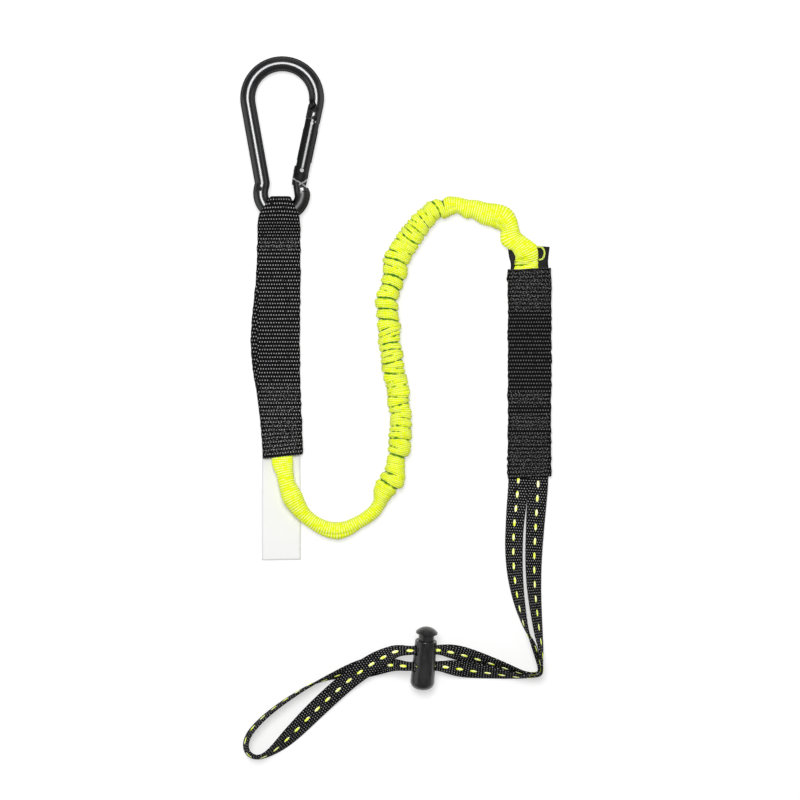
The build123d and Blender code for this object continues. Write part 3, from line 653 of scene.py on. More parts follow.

# %% [markdown]
# ## The sleeve's cloth
#
# The sleeve is polyester dyed a fluorescent yellow-green, woven with a rib every
# millimetre and a half. The crest of each rib is painted with a pale highlight and the gap
# between ribs with a greener shade, and creases are painted with a deep green shade, not
# grey. The colour is mixed from the rib and from two values that the mesh carries: how deep
# a point lies in a crease, and how full the puff is, where the painted highlight is weaker.
# The rib is also a bump. The colour also glows a little, a painted glow that lightens the
# shaded sides.

# %% Sleeve finish
RIB_PITCH, RIB_STITCH = 1.45 * MM, 1.2 * MM
SLEEVE_BRIGHT = (0.93, 0.985, 0.012, 1)
# painted highlight on the crests of the ribs
SLEEVE_RIB_HIGHLIGHT = (0.985, 0.995, 0.5, 1)
# painted shade in the gaps between the ribs
SLEEVE_RIB_SHADE = (0.6, 0.83, 0.002, 1)
# the deep green painted shade of the creases
SLEEVE_CREASE_SHADE = (0.02, 0.17, 0.001, 1)
# painted glow: the sleeve gives out its own colour under any light, which lightens its shaded sides
PAINTED_GLOW = 0.1  # of the light that a fluorescent dye gives back

sleeve_cloth = Finish(
    "bright_sleeve_cloth",
    Roughness=0.75,
    Sheen_Weight=0.15,
    Sheen_Roughness=0.4,
    Specular_IOR_Level=0.25,
    Emission_Strength=PAINTED_GLOW,
)
along, across = sleeve_cloth.cloth()
where = sleeve_cloth.place()
mottle = sleeve_cloth.noise(where, 420)
rib = along.wave(RIB_PITCH)
stitch = across.wave(RIB_STITCH, mottle * 0.3)
thread = rib * 0.75 + stitch * rib.step(-0.4, 0.8) * 0.45
# each rib's crest gets a pale painted highlight, weaker on full puffs, and its gap a greener painted
# shade
painted_highlight = thread.step(0.15, 0.85) * mottle.step(0.36, 0.54)
low = thread.step(0.05, -0.8)
crease = sleeve_cloth.attribute("crease")
full = sleeve_cloth.attribute("full")
uneven = sleeve_cloth.noise(where, 380, 3)
colour = sleeve_cloth.mix(painted_highlight * (1.0 - full * 0.35), SLEEVE_BRIGHT, SLEEVE_RIB_HIGHLIGHT)
colour = sleeve_cloth.mix(low, colour, SLEEVE_RIB_SHADE)
# the painted crease shade, broken up by noise, turns the colour deep green
shaded = (crease * 1.15 + (uneven - 0.5) * 1.7 * crease.step(0.05, 0.3)).step(0.32, 0.85)
colour = sleeve_cloth.mix(shaded * 0.97, colour, SLEEVE_CREASE_SHADE)
sleeve_cloth.surface(Base_Color=colour, Emission_Color=colour, Normal=sleeve_cloth.bump(thread, 0.2 * MM))

# %% Sleeve piece
sleeve = finished("gathered_sleeve", sleeve_mesh, sleeve_cloth, "lanyard")
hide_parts("bungee_sleeve", "bungee_anchor_end", "bungee_tool_end")

# %% [markdown]
# ## The elastic core
#
# The core is hidden, but a sleeve without it would be a sock. It is a plain tube along the
# same spline, thin enough to stay inside the creases.

# %% Core piece
CORE_RADIUS, CORE_STEP, CORE_AROUND = 2.6 * MM, 2.0 * MM, 20
BRAID_PITCH = 1.6 * MM
CORE_START, CORE_END = 34 * MM, 52 * MM  # the flat ends of the sleeve hold no core
core_spots, core_line = even(line, CORE_STEP)
inside = (core_spots > CORE_START) & (core_spots < core_spots[-1] - CORE_END)
core_line, core_spots = core_line[inside], core_spots[inside]
core_mesh = tube(core_line, core_spots, CORE_RADIUS, CORE_AROUND)

elastic = Finish("elastic_core", Roughness=0.6)
along, across = elastic.cloth()
braid = (along + across).wave(BRAID_PITCH) * (along - across).wave(BRAID_PITCH)
elastic.surface(
    Base_Color=elastic.mix(braid.step(-0.4, 0.6), (0.5, 0.48, 0.4, 1), (0.78, 0.76, 0.68, 1)),
    Normal=elastic.bump(braid, 0.1 * MM),
)
core = finished("elastic_core", core_mesh, elastic, "lanyard")
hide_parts("bungee_core")

print("core points:", len(core_line))

# %% [markdown]
# ## The narrow loop
#
# The loop is one length of narrow webbing. It leaves the tool handle flat, turns on its
# edge where it bends round the far corner, is bunched up where it goes through the two
# windows of the cord lock, and is on edge again at the tip. A strip that twists like this
# is steered by its middle line, and a twin NURBS curve of the same number of points
# carries its turn, width and thickness.

# %% Loop line
LOOP_WIDE, LOOP_WEB = 12.0, 1.4
BUNCH_WIDE, BUNCH_WEB = 5.0, 3.2
FLAT = (LOOP_WIDE, LOOP_WEB)
# x, y, height, turn about the line in degrees, width, thickness
LEFT_RUN = [
    (73.8, -40.8, 2.2, 0, *FLAT),
    (73.95, -63.6, 2.2, 0, *FLAT),
    (72.95, -76.0, 2.6, 14, *FLAT),
    (71.4, -91.2, 4.1, 31, *FLAT),
    (70.8, -105.6, 4.3, 33, *FLAT),
    (71.4, -120.0, 5.0, 42, *FLAT),
    (73.0, -132.0, 5.8, 54, *FLAT),
    (75.2, -143.0, 6.2, 66, *FLAT),
    (78.5, -154.8, 6.3, 84, *FLAT),
    (82.6, -163.2, 6.3, 102, *FLAT),
    (84.8, -170.4, 6.3, 101, *FLAT),
    (86.1, -176.4, 6.3, 95, *FLAT),
    (85.7, -180.5, 6.3, 93, *FLAT),
]
UPPER_BAND = [
    (78.0, -180.5, 6.3, 97, *FLAT),
    (69.3, -177.9, 6.2, 112, *FLAT),
    (56.7, -173.9, 5.6, 127, *FLAT),
    (44.7, -170.2, 5.6, 138, *FLAT),
    (35.0, -167.4, 8.0, 152, 9.5, 1.8),
]
UPPER_WINDOW = [
    (25.6, -165.9, 8.7, 180, BUNCH_WIDE, BUNCH_WEB),
    (9.5, -166.1, 16.5, 180, BUNCH_WIDE, BUNCH_WEB),
]
BROAD_SIDE = [
    (1.0, -166.2, 14.2, 180, 7.0, 2.3),
    (-5.2, -169.2, 11.4, 178, 9.5, 1.8),
    (-13.4, -173.8, 9.0, 172, 11.5, 1.5),
    (-26.7, -183.0, 6.0, 157, *FLAT),
    (-45.9, -200.4, 3.2, 160, *FLAT),
    (-63.3, -218.0, 4.4, 142, *FLAT),
    (-73.4, -226.8, 5.9, 115, *FLAT),
    (-80.7, -230.8, 6.2, 102, *FLAT),
    (-86.0, -230.2, 6.1, 106, *FLAT),
    (-89.4, -226.6, 6.1, 106, *FLAT),
]
THIN_SIDE = [
    (-89.6, -221.0, 6.1, 104, *FLAT),
    (-86.2, -214.4, 6.2, 102, *FLAT),
    (-76.5, -204.6, 6.2, 98, *FLAT),
    (-61.5, -193.8, 6.3, 94, *FLAT),
    (-46.5, -185.0, 6.2, 88, *FLAT),
    (-31.1, -179.9, 5.0, 56, *FLAT),
    (-17.7, -177.3, 2.6, 12, *FLAT),
    (-8.8, -175.9, 4.4, 4, 10.0, 1.6),
    (-0.6, -174.9, 9.4, 2, 7.2, 2.2),
]
LOWER_WINDOW = [
    (8.7, -175.9, 14.4, 0, BUNCH_WIDE, BUNCH_WEB),
    (24.8, -175.7, 6.6, 0, BUNCH_WIDE, BUNCH_WEB),
]
LOWER_BAND = [
    (34.6, -176.9, 6.2, 16, 9.5, 1.8),
    (44.7, -178.5, 4.7, 38, *FLAT),
    (56.7, -179.8, 5.4, 52, *FLAT),
    (69.3, -181.6, 6.1, 70, *FLAT),
    (79.0, -182.5, 6.3, 83, *FLAT),
    (85.4, -182.1, 6.3, 88, *FLAT),
]
RIGHT_RUN = [
    (87.6, -180.0, 6.3, 90, *FLAT),
    (87.7, -174.6, 6.3, 88, *FLAT),
    (87.0, -165.6, 6.3, 77, *FLAT),
    (85.5, -156.0, 6.1, 66, *FLAT),
    (84.3, -145.2, 5.8, 58, *FLAT),
    (82.9, -130.8, 5.3, 47, *FLAT),
    (82.5, -112.8, 4.5, 36, *FLAT),
    (83.7, -91.2, 3.6, 25, *FLAT),
    (84.85, -76.0, 2.6, 12, *FLAT),
    (85.75, -63.6, 2.2, 0, *FLAT),
    (85.85, -40.8, 2.2, 0, *FLAT),
]
BEHIND_LOCK = BROAD_SIDE + THIN_SIDE
LOOP = LEFT_RUN + UPPER_BAND + UPPER_WINDOW + BEHIND_LOCK + LOWER_WINDOW + LOWER_BAND + RIGHT_RUN
loop_table = np.array(LOOP)
loop_table[:, [0, 1, 2, 4, 5]] *= MM
loop_table[:, 3] = np.radians(loop_table[:, 3])
loop_line = along_nurbs(loop_table[:, :3])
loop_twist = along_nurbs(loop_table[:, 3:])
LOOP_ROW = 1.6 * MM
loop_spots, loop_line, loop_twist = even(loop_line, LOOP_ROW / 4, loop_twist)
print("loop webbing, end to end:", round(float(loop_spots[-1]), 3))

# %% Loop mesh
LOOP_COLUMNS = 13
LOOP_RIDGE, EDGE_RIDGE = 0.07 * MM, 0.6  # a row's height, and the share of it at the edge
LOOP_THIN_EDGE = 0.45
PLEAT = 0.5  # how deep the bunched webbing is folded, in millimetres


def flat_ring(columns):
    """Places across a strip's face and back along its underside, and each one's side."""
    places = np.linspace(1, -1, columns)
    return np.concatenate([places, places[::-1]]), np.repeat([1.0, -1.0], columns)


loop_ways, level, upright = level_frame(loop_line)
turn = loop_twist[:, 0, None]
wide = level * np.cos(turn) + upright * np.sin(turn)
thin = np.cross(loop_ways, wide)
round_strip, face = flat_ring(LOOP_COLUMNS)
bunched = np.clip((LOOP_WIDE * MM - loop_twist[:, 1]) / ((LOOP_WIDE - BUNCH_WIDE) * MM), 0, 1)[:, None]
ridge = LOOP_RIDGE * 0.5 * (1 + np.cos(2 * pi * loop_spots / LOOP_ROW))[:, None]
rounding = 1 - LOOP_THIN_EDGE * np.abs(round_strip) ** 10
pleat = bunched * np.cos(round_strip * 2.0 * pi) * PLEAT * MM
lift = face * (loop_twist[:, 2, None] / 2 * rounding + ridge * (1 - np.abs(round_strip) ** 10)) + pleat
reach = round_strip * (loop_twist[:, 1, None] / 2 + EDGE_RIDGE * ridge)
loop_rings = loop_line[:, None] + wide[:, None] * reach[..., None] + thin[:, None] * lift[..., None]
loop_across = np.append(round_strip, round_strip[0]) * LOOP_WIDE / 2 * MM
loop_mesh = skin(loop_rings, loop_spots, loop_across)
print("loop faces:", len(loop_mesh.polygons))

# %% [markdown]
# ## Strips of webbing
#
# Webbing is a flat woven band, and it bends easily one way only. Two smooth lines, one for
# each edge, say all that such a strip does: how it tapers, drifts and climbs. A third line
# carries what happens between the edges: how far they droop and how far the rows arch.
# Each row of the weave is a real ridge, so the edge of the strip is finely toothed too.

# %% Strip from two edges
STRIP_COLUMNS, STRIP_THIN_EDGE = 18, 0.5
FRAY_STEP = 2 * MM  # the edge wanders a little from one such step to the next
DROOP_FROM = 0.45  # droop starts at this share of the half width


def strip(edges, thickness, columns=STRIP_COLUMNS, row=0.0, ridge=0.0, step=0.5 * MM, ragged=0.0):
    """A strip through stations of (left x, y, right x, y, height, droop, arch) in millimetres."""
    table = np.array(edges, float) * MM
    left = along_nurbs(table[:, [0, 1, 4]])
    right = along_nurbs(table[:, [2, 3, 4]])
    extra = along_nurbs(np.stack([table[:, 5], table[:, 6], 0 * table[:, 0]], 1))
    spots, middle, left, right, extra = even((left + right) / 2, step, left, right, extra)
    ways = directions(middle)
    width = np.linalg.norm(left - right, axis=1)
    wide = unit(left - right)
    thin = unit(np.cross(ways, wide))
    around, face = flat_ring(columns)
    ridges = ridge * 0.5 * (1 + np.cos(2 * pi * spots / row)) if row else np.zeros(len(spots))
    thick = thickness / 2 * (1 - STRIP_THIN_EDGE * np.abs(around) ** 12)
    lift = face * (thick + ridges[:, None] * (1 - np.abs(around) ** 10))
    chance = np.random.default_rng(len(spots))
    knots = np.arange(0, spots[-1] + 2 * FRAY_STEP, FRAY_STEP)
    sides = [np.interp(spots, knots, chance.normal(0, ragged, len(knots)))[:, None] for _ in (1, -1)]
    frayed = np.where(around > 0, sides[0], sides[1])
    reach = around * (width[:, None] / 2 + EDGE_RIDGE * ridges[:, None] + frayed)
    rings = middle[:, None] + wide[:, None] * reach[..., None] + thin[:, None] * lift[..., None]
    edge = np.clip((np.abs(around) - DROOP_FROM) / (1 - DROOP_FROM), 0, 1) ** 2
    rings[..., 2] -= extra[:, 0, None] * edge
    rings[..., 1] -= extra[:, 1, None] * around**2
    across = np.append(around, around[0]) * width[:, None] / 2
    return skin(rings, spots, across), spots[-1]


print("points in each ring of a strip:", len(flat_ring(STRIP_COLUMNS)[0]))

# %% [markdown]
# ## The black webbing's weave
#
# Polyester webbing of this kind shows a row of weft about every two millimetres, and in
# each row small floats of warp, half a pitch over from one row to the next. Where the floats
# would catch the light, pale grey highlight dots are painted into the colour, and the gap
# between rows is painted with a darker shade. An image could carry that, but a formula on
# the strip's own UV map stays sharp at any distance, and takes the strip's bends with it.

# %% Webbing finish
def webbing(name, row, dot, painted_highlight, base):
    """A black weave with a ridge for each row, painted shade between rows and painted highlight dots on
    the floats.
    """
    cloth = Finish(name, Specular_IOR_Level=0.06)
    along, across = cloth.cloth()
    where = cloth.place()
    grain = cloth.noise(where, 900)
    patch = cloth.noise(where, 160)
    line = along.wave(row)
    odd = along.wave(2 * row).step(-0.1, 0.1) * 0.5
    float_ = across.wave(dot, odd + patch * 0.2)
    # painted highlight: pale dots where the floats would catch the light
    highlight_dots = line.step(0.3, 0.8) * float_.step(0.3, 0.8) * grain.step(0.3, 0.46)
    # painted shade: the gap between rows is darker
    shade = cloth.mix(line.step(-0.8, 0.9), (base * 0.5,) * 3 + (1,), (base,) * 3 + (1,))
    shade = cloth.mix(highlight_dots, shade, (painted_highlight, painted_highlight, painted_highlight * 1.02, 1))
    cloth.surface(
        Base_Color=shade,
        Roughness=0.85 - highlight_dots * 0.3,
        Normal=cloth.bump(line * 0.5 + grain * 0.4, 0.08 * MM),
    )
    return cloth


WEB, WEB_ROW, WEB_DOT = 1.5 * MM, 2.3 * MM, 1.55 * MM
WEB_RIDGE, WEB_STEP = 0.05 * MM, WEB_ROW / 4
WEB_BLACK = 0.008
black_webbing = webbing("black_webbing_weave", WEB_ROW, WEB_DOT, painted_highlight=0.4, base=WEB_BLACK)
# the tool handle's webbing has fainter painted highlight dots
faint_highlight_webbing = webbing("faint_highlight_webbing_weave", WEB_ROW, WEB_DOT, painted_highlight=0.18, base=WEB_BLACK)
print("rows of weft in 100 mm:", round(100 * MM / WEB_ROW))

# %% [markdown]
# ## The anchor handle
#
# One length of webbing goes up the front, through the carabiner's eye, round its bar and
# down the back, and both legs are sewn together. Front and back could be two strips, but
# one continuous strip is how it is made, and it closes the fold by itself. Inside the eye
# it has less room than its width, so it narrows and its rows arch.

# %% Anchor handle
# left x, y, right x, y, height of the middle, droop of the edges, arch of the rows
FRONT_LEG = [
    (-79.5, -52.0, -55.4, -49.4, 4.9, 1.6, 0),
    (-79.9, -42.0, -55.6, -40.0, 5.2, 1.5, 0),
    (-81.0, -30.0, -56.1, -30.0, 5.0, 1.2, 0),
    (-82.0, -19.0, -56.5, -19.0, 2.5, 0, 0),
    (-82.6, -6.0, -57.0, -6.0, 2.3, 0, 0),
    (-82.7, 12.0, -57.2, 12.0, 3.0, 0.1, 0),
    (-82.8, 38.0, -57.1, 38.0, 3.2, 0.2, 0),
    (-82.3, 60.0, -56.9, 60.0, 2.8, 0.1, 0),
    (-82.7, 71.0, -57.0, 71.0, 2.3, 0, 0),
    (-82.6, 80.0, -57.0, 80.0, 2.4, 0, 0),
    (-82.6, 86.0, -56.9, 86.0, 6.2, 0.2, 0.2),
]
FOLD = [
    (-82.3, 91.0, -57.1, 91.0, 10.4, 0.8, 0.2),
    (-81.0, 95.5, -58.2, 95.5, 11.7, 1.4, 0.5),
    (-78.6, 99.4, -60.2, 99.4, 11.9, 1.2, 0.6),
    (-75.9, 102.9, -62.0, 102.9, 11.5, 0.6, 0.3),
    (-75.0, 104.4, -62.8, 104.4, 9.2, 0, 0),
    (-75.0, 104.4, -62.8, 104.4, 5.0, 0, 0),
    (-76.0, 103.0, -61.8, 103.0, 1.4, 0, 0),
    (-79.0, 98.0, -59.4, 98.0, 0.85, 0, 0),
    (-82.0, 91.0, -57.4, 91.0, 0.85, 0, 0),
]
BACK_LEG = [
    (-82.6, 80.0, -57.2, 80.0, 0.85, 0, 0),
    (-83.4, 62.0, -57.6, 62.0, 0.85, 0, 0),
    (-84.8, 44.0, -58.6, 44.0, 0.85, 0, 0),
    (-86.4, 30.0, -60.0, 30.0, 0.85, 0, 0),
    (-86.9, 16.8, -60.6, 16.8, 0.85, 0, 0),
    (-85.8, 1.2, -59.6, 1.2, 0.85, 0, 0),
    (-83.4, -12.0, -57.6, -12.0, 0.85, 0, 0),
    (-81.4, -25.0, -56.4, -25.0, 0.85, 0, 0),
    (-79.4, -51.4, -55.6, -49.0, 0.85, 0, 0),
]
anchor_mesh, anchor_length = strip(
    FRONT_LEG + FOLD + BACK_LEG, WEB, row=WEB_ROW, ridge=WEB_RIDGE, step=WEB_STEP, ragged=0.16 * MM
)
anchor = finished("anchor_webbing", anchor_mesh, black_webbing, None)
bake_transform(anchor)
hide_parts("anchor_strap", "anchor_fold")
print("anchor webbing, end to end:", round(float(anchor_length), 3))

# %% [markdown]
# ## The tool handle
#
# The tool handle is two shorter strips sewn face to face over the bungee's end, a tab of
# smooth tape and the ends of the narrow loop. The front strip stands proud where they lie
# under it, and its edges droop there towards the back strip.

# %% Tool handle
TOOL_FRONT = [
    (66.9, 61.1, 93.2, 62.4, 5.7, 2.1, 0),
    (67.1, 52.0, 93.4, 52.0, 5.9, 2.4, 0),
    (67.4, 41.0, 93.5, 41.0, 5.7, 2.1, 0),
    (67.4, 33.0, 93.5, 33.0, 3.0, 0.3, 0),
    (67.5, 27.0, 93.5, 27.0, 2.5, 0, 0),
    (66.9, 23.0, 93.5, 23.0, 2.9, 0, 0),
    (67.5, 19.0, 93.4, 19.0, 2.3, 0, 0),
    (67.5, 0.0, 93.4, 0.0, 2.3, 0, 0),
    (67.6, -10.0, 93.4, -10.0, 2.4, 0, 0),
    (67.0, -14.0, 93.4, -14.0, 2.6, 0, 0),
    (67.5, -19.0, 93.2, -19.0, 2.3, 0, 0),
    (67.4, -29.0, 93.2, -29.0, 2.6, 0, 0),
    (67.2, -37.0, 93.2, -37.0, 3.6, 0.3, 0),
    (67.2, -50.0, 93.4, -50.0, 3.7, 0.3, 0),
    (67.3, -63.9, 93.2, -62.6, 3.6, 0.2, 0),
]
TOOL_BACK = [
    (67.6, 61.6, 93.2, 61.6, 0.85, 0, 0),
    (67.4, 20.0, 93.2, 20.0, 0.85, 0, 0),
    (67.5, -20.0, 93.1, -20.0, 0.85, 0, 0),
    (67.5, -63.5, 93.0, -62.3, 0.85, 0, 0),
]
for name, edges, node in (
    ("tool_webbing_front", TOOL_FRONT, "tool_strap_front"),
    ("tool_webbing_back", TOOL_BACK, "tool_strap_back"),
):
    mesh, length = strip(edges, WEB, row=WEB_ROW, ridge=WEB_RIDGE, step=WEB_STEP, ragged=0.2 * MM)
    piece = finished(name, mesh, faint_highlight_webbing, "lanyard")
    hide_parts(node)
    print(name, "is", round(float(length), 3), "long")

# %% [markdown]
# ## The tab of smooth tape
#
# Behind the bungee's end a tab of coated tape sticks out of the handle. It has no weave:
# its finish is almost plain, a little glossy, with the faint lengthwise lines of a
# calendered coating.

# %% Back tab
TAB = [
    (68.2, 44.0, 92.0, 44.0, 2.6, 0, 0),
    (68.2, 58.0, 92.0, 58.0, 2.6, 0, 0),
    (69.2, 63.0, 91.6, 63.0, 2.1, 0, 0),
    (69.0, 66.0, 91.4, 66.0, 1.2, 0, 0),
    (68.0, 69.0, 91.7, 69.0, 0.75, 0, 0),
    (67.4, 74.0, 92.3, 74.0, 0.85, 0, 0),
    (67.6, 76.8, 92.5, 75.0, 1.2, 0, 0),
]
TAPE, TAPE_STEP, TAPE_LINE = 0.95 * MM, 0.8 * MM, 0.7 * MM
tape = Finish("smooth_tape_coating", Specular_IOR_Level=0.12)
_, across = tape.cloth()
lines = across.wave(TAPE_LINE)
cloudy = tape.noise(tape.place(), 140, 4)
tape.surface(
    Base_Color=tape.mix(cloudy.step(0.3, 0.7), (0.006, 0.006, 0.0065, 1), (0.011, 0.011, 0.0115, 1)),
    Roughness=cloudy * 0.25 + 0.35,
    Normal=tape.bump(lines * 0.4 + cloudy, 0.06 * MM),
)
tab_mesh, tab_length = strip(TAB, TAPE, step=TAPE_STEP)
tab = finished("smooth_back_tab", tab_mesh, tape, "lanyard")
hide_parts("back_tab")
print("tab length:", round(float(tab_length), 4))

# %% [markdown]
# ## The plain tag
#
# A soft satin tag is sewn in between the handle's legs and lies on the table, with the
# bungee across it. It bears nothing. Satin is nearly all warp floats, so its pattern is a
# fine lengthwise line with hardly any weft, and its shape is a strip with a gentle wave.

# %% Satin tag
TAG, TAG_STEP, TAG_COLUMNS = 0.26 * MM, 1.0 * MM, 14
SATIN_WARP, SATIN_WEFT = 0.35 * MM, 0.5 * MM
TAG_EDGES = [
    (-80.0, -38.0, -57.2, -37.0, 3.4, 0, 0),
    (-79.9, -50.0, -57.1, -49.5, 2.6, 0.3, 0),
    (-80.0, -57.0, -57.0, -57.0, 0.5, 0, 0),
    (-80.2, -66.0, -56.9, -66.0, 0.35, 0, 0),
    (-80.3, -80.0, -56.7, -80.0, 0.3, 0, 0),
    (-80.2, -94.0, -56.6, -94.0, 0.4, 0, 0),
    (-80.2, -104.0, -56.8, -104.0, 0.75, 0.3, 0),
    (-80.1, -112.9, -56.7, -112.5, 0.55, 0.2, 0),
]
satin = Finish("plain_satin", Sheen_Weight=0.1)
along, across = satin.cloth()
warp = across.wave(SATIN_WARP)
soft = satin.noise(satin.place(), 60, 3)
satin.surface(
    Base_Color=satin.mix(warp.step(-1, 1), (0.84, 0.84, 0.835, 1), (0.92, 0.92, 0.915, 1)),
    Roughness=soft * 0.3 + 0.3,
    Normal=satin.bump(warp * 0.5 + along.wave(SATIN_WEFT) * 0.2 + soft, 0.05 * MM),
)
tag_mesh, tag_length = strip(TAG_EDGES, TAG, columns=TAG_COLUMNS, step=TAG_STEP)
tag = finished("plain_satin_tag", tag_mesh, satin, "lanyard")
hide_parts("blank_tag")
print("tag length:", round(float(tag_length), 4))

# %% [markdown]
# ## The loop's webbing
#
# The narrow webbing has the same kind of weave with shorter rows, and one bright warp yarn
# down its middle that surfaces every few rows as a dash.

# %% Loop piece
LOOP_DOT = 1.6 * MM
narrow_webbing = webbing("narrow_webbing_weave", LOOP_ROW, LOOP_DOT, painted_highlight=0.38, base=WEB_BLACK)
loop = finished("choke_loop_webbing", loop_mesh, narrow_webbing, None)
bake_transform(loop)
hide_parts("loop_strap")

# %% [markdown]
# ## Things that repeat
#
# Tracer dashes and sewn stitches are all short pieces of thread that lie on cloth, many
# hundreds of them. Geometry Nodes place one small grain on each point of a cloud. The
# cloud carries the direction of the thread and the cloth's own normal at each point, and
# the tree turns the grain to both. The grain's sizes are inputs of the tree, so one tree
# makes every kind of thread.

# %% Thread tree
def thread_tree():
    """Puts a grain of thread on each point, turned to the point's way and normal."""
    tree = bpy.data.node_groups.new("threads", "GeometryNodeTree")
    face = tree.interface
    face.new_socket("Points", in_out="INPUT", socket_type="NodeSocketGeometry")
    for name in ("Length", "Width", "Height"):
        face.new_socket(name, in_out="INPUT", socket_type="NodeSocketFloat")
    face.new_socket("Material", in_out="INPUT", socket_type="NodeSocketMaterial")
    face.new_socket("Threads", in_out="OUTPUT", socket_type="NodeSocketGeometry")

    def node(kind, settings=(), sockets=()):
        return add_node(tree, kind, settings, sockets)

    given = node("NodeGroupInput").outputs
    def carried(name):
        """A direction that the cloud carries at each of its points."""
        found = node("GeometryNodeInputNamedAttribute", {"data_type": "FLOAT_VECTOR"}, {"Name": name})
        return found.outputs["Attribute"]

    grain = node("GeometryNodeMeshUVSphere", {}, {"Segments": 8, "Rings": 6, "Radius": 0.5})
    sizes = {"X": given["Length"], "Y": given["Width"], "Z": given["Height"]}
    size = node("ShaderNodeCombineXYZ", {}, sizes).outputs[0]
    sized = node("GeometryNodeTransform", {}, {"Geometry": grain.outputs["Mesh"], "Scale": size})
    lying = node("FunctionNodeAlignRotationToVector", {"axis": "X"}, {"Vector": carried("way")})
    turned = node(
        "FunctionNodeAlignRotationToVector",
        {"axis": "Z", "pivot_axis": "X"},
        {"Rotation": lying.outputs[0], "Vector": carried("normal")},
    )
    placed = node(
        "GeometryNodeInstanceOnPoints",
        {},
        {"Points": given["Points"], "Instance": sized.outputs[0], "Rotation": turned.outputs[0]},
    )
    real = node("GeometryNodeRealizeInstances", {}, {"Geometry": placed.outputs[0]})
    finish = {"Geometry": real.outputs[0], "Material": given["Material"]}
    node("NodeGroupOutput", {}, {"Threads": node("GeometryNodeSetMaterial", {}, finish).outputs[0]})
    return tree


threads = thread_tree()
print("nodes in the thread tree:", len(threads.nodes))

# %% Threads on a cloud of points
def sew(name, places, ways, normals, size, material, body, slot, *nodes):
    """A piece made of one grain of thread for each place."""
    cloud = bpy.data.meshes.new("cloud")
    cloud.from_pydata(np.asarray(places).tolist(), [], [])
    for kind, vectors in (("way", ways), ("normal", normals)):
        attribute = cloud.attributes.new(kind, "FLOAT_VECTOR", "POINT")
        attribute.data.foreach_set("vector", np.asarray(vectors, np.float32).ravel())
    holder = bpy.data.objects.new("cloud", cloud)
    scene.collection.objects.link(holder)
    modifier = holder.modifiers.new("threads", "NODES")
    modifier.node_group = threads
    inputs = dict(zip(("Length", "Width", "Height", "Material"), (*size, material.material)))
    for item in threads.interface.items_tree:
        if item.name in inputs:
            modifier[item.identifier] = inputs[item.name]
    shaped = holder.evaluated_get(bpy.context.evaluated_depsgraph_get())
    mesh = bpy.data.meshes.new_from_object(shaped)
    bpy.data.objects.remove(holder)
    bpy.data.meshes.remove(cloud)
    mesh.polygons.foreach_set("use_smooth", [True] * len(mesh.polygons))
    piece = finished(name, mesh, material, body)
    if nodes:
        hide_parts(*nodes)
    print(name, "has", len(places), "grains and", len(mesh.polygons), "faces")
    return piece


# %% Tracer dashes
DASH, DASH_WIDE, DASH_HIGH, DASH_PITCH = 4.6 * MM, 1.8 * MM, 0.7 * MM, 8.6 * MM
NO_DASH = 24.0 * MM  # at either end of the loop, inside the handle
ON_PLEAT = 0.45 * MM  # how much higher a dash lies where the webbing is bunched
# painted glow: the tracer gives out its own colour under any light
TRACER_PAINTED_GLOW = 0.2  # the yarn is dyed like the sleeve, and shows more light

tracer = Finish("bright_tracer_yarn", Roughness=0.55, Emission_Strength=TRACER_PAINTED_GLOW)
highlight_fleck = tracer.noise(tracer.place(), 700)
# pale painted highlight flecks on the yellow yarn, placed by noise
tracer_colour = tracer.mix(highlight_fleck.step(0.4, 0.6), (0.8, 0.96, 0.005, 1), (1.0, 1.0, 0.6, 1))
tracer.surface(
    Base_Color=tracer_colour,
    Emission_Color=tracer_colour,
    Normal=tracer.bump(highlight_fleck, 0.1 * MM),
)
dash_at = np.arange(NO_DASH, loop_spots[-1] - NO_DASH, DASH_PITCH)
at = {
    name: np.stack([np.interp(dash_at, loop_spots, values[:, i]) for i in range(3)], 1)
    for name, values in (("middle", loop_line), ("way", loop_ways), ("thin", thin))
}
half_thick = np.interp(dash_at, loop_spots, loop_twist[:, 2] / 2 + bunched[:, 0] * ON_PLEAT)
outward = half_thick[:, None] * at["thin"]
dashes = sew(
    "tracer_dashes",
    np.concatenate([at["middle"] + outward, at["middle"] - outward]),
    np.concatenate([at["way"], at["way"]]),
    np.concatenate([at["thin"], -at["thin"]]),
    (DASH, DASH_WIDE, DASH_HIGH),
    tracer,
    None,
    "loop_webbing",
)
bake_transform(dashes)

# %% [markdown]
# ## Sewing
#
# Both handles are closed with dense blocks of stitches: short black threads across the
# strap, row upon row, each row set over by half a stitch. The cloth under them is not
# flat, so each stitch is dropped on the strip from above and takes the height and the
# slope that it finds there.

# %% Stitch blocks
STITCH, STITCH_WIDE, STITCH_HIGH = 1.9 * MM, 0.42 * MM, 0.4 * MM
STITCH_GAP, STITCH_ROW = 0.35 * MM, 1.15 * MM
SEAM_EDGE = 1.3 * MM  # from the strap's edge to the first stitch
STITCH_SWAY, STITCH_TURN = 0.25 * MM, 0.4  # how far stitches stray, and turn in radians
SEWING_SEED = 23

sewing_thread = Finish("black_sewing_thread", Roughness=0.5)
# grey flecks painted into the colour stand for the thread's sheen highlights
highlight_fleck = sewing_thread.noise(sewing_thread.place(), 1100)
sewing_thread.surface(
    Base_Color=sewing_thread.mix(highlight_fleck.step(0.45, 0.7), (0.01, 0.01, 0.011, 1), (0.2, 0.2, 0.205, 1)),
    Normal=sewing_thread.bump(highlight_fleck, 0.08 * MM),
)


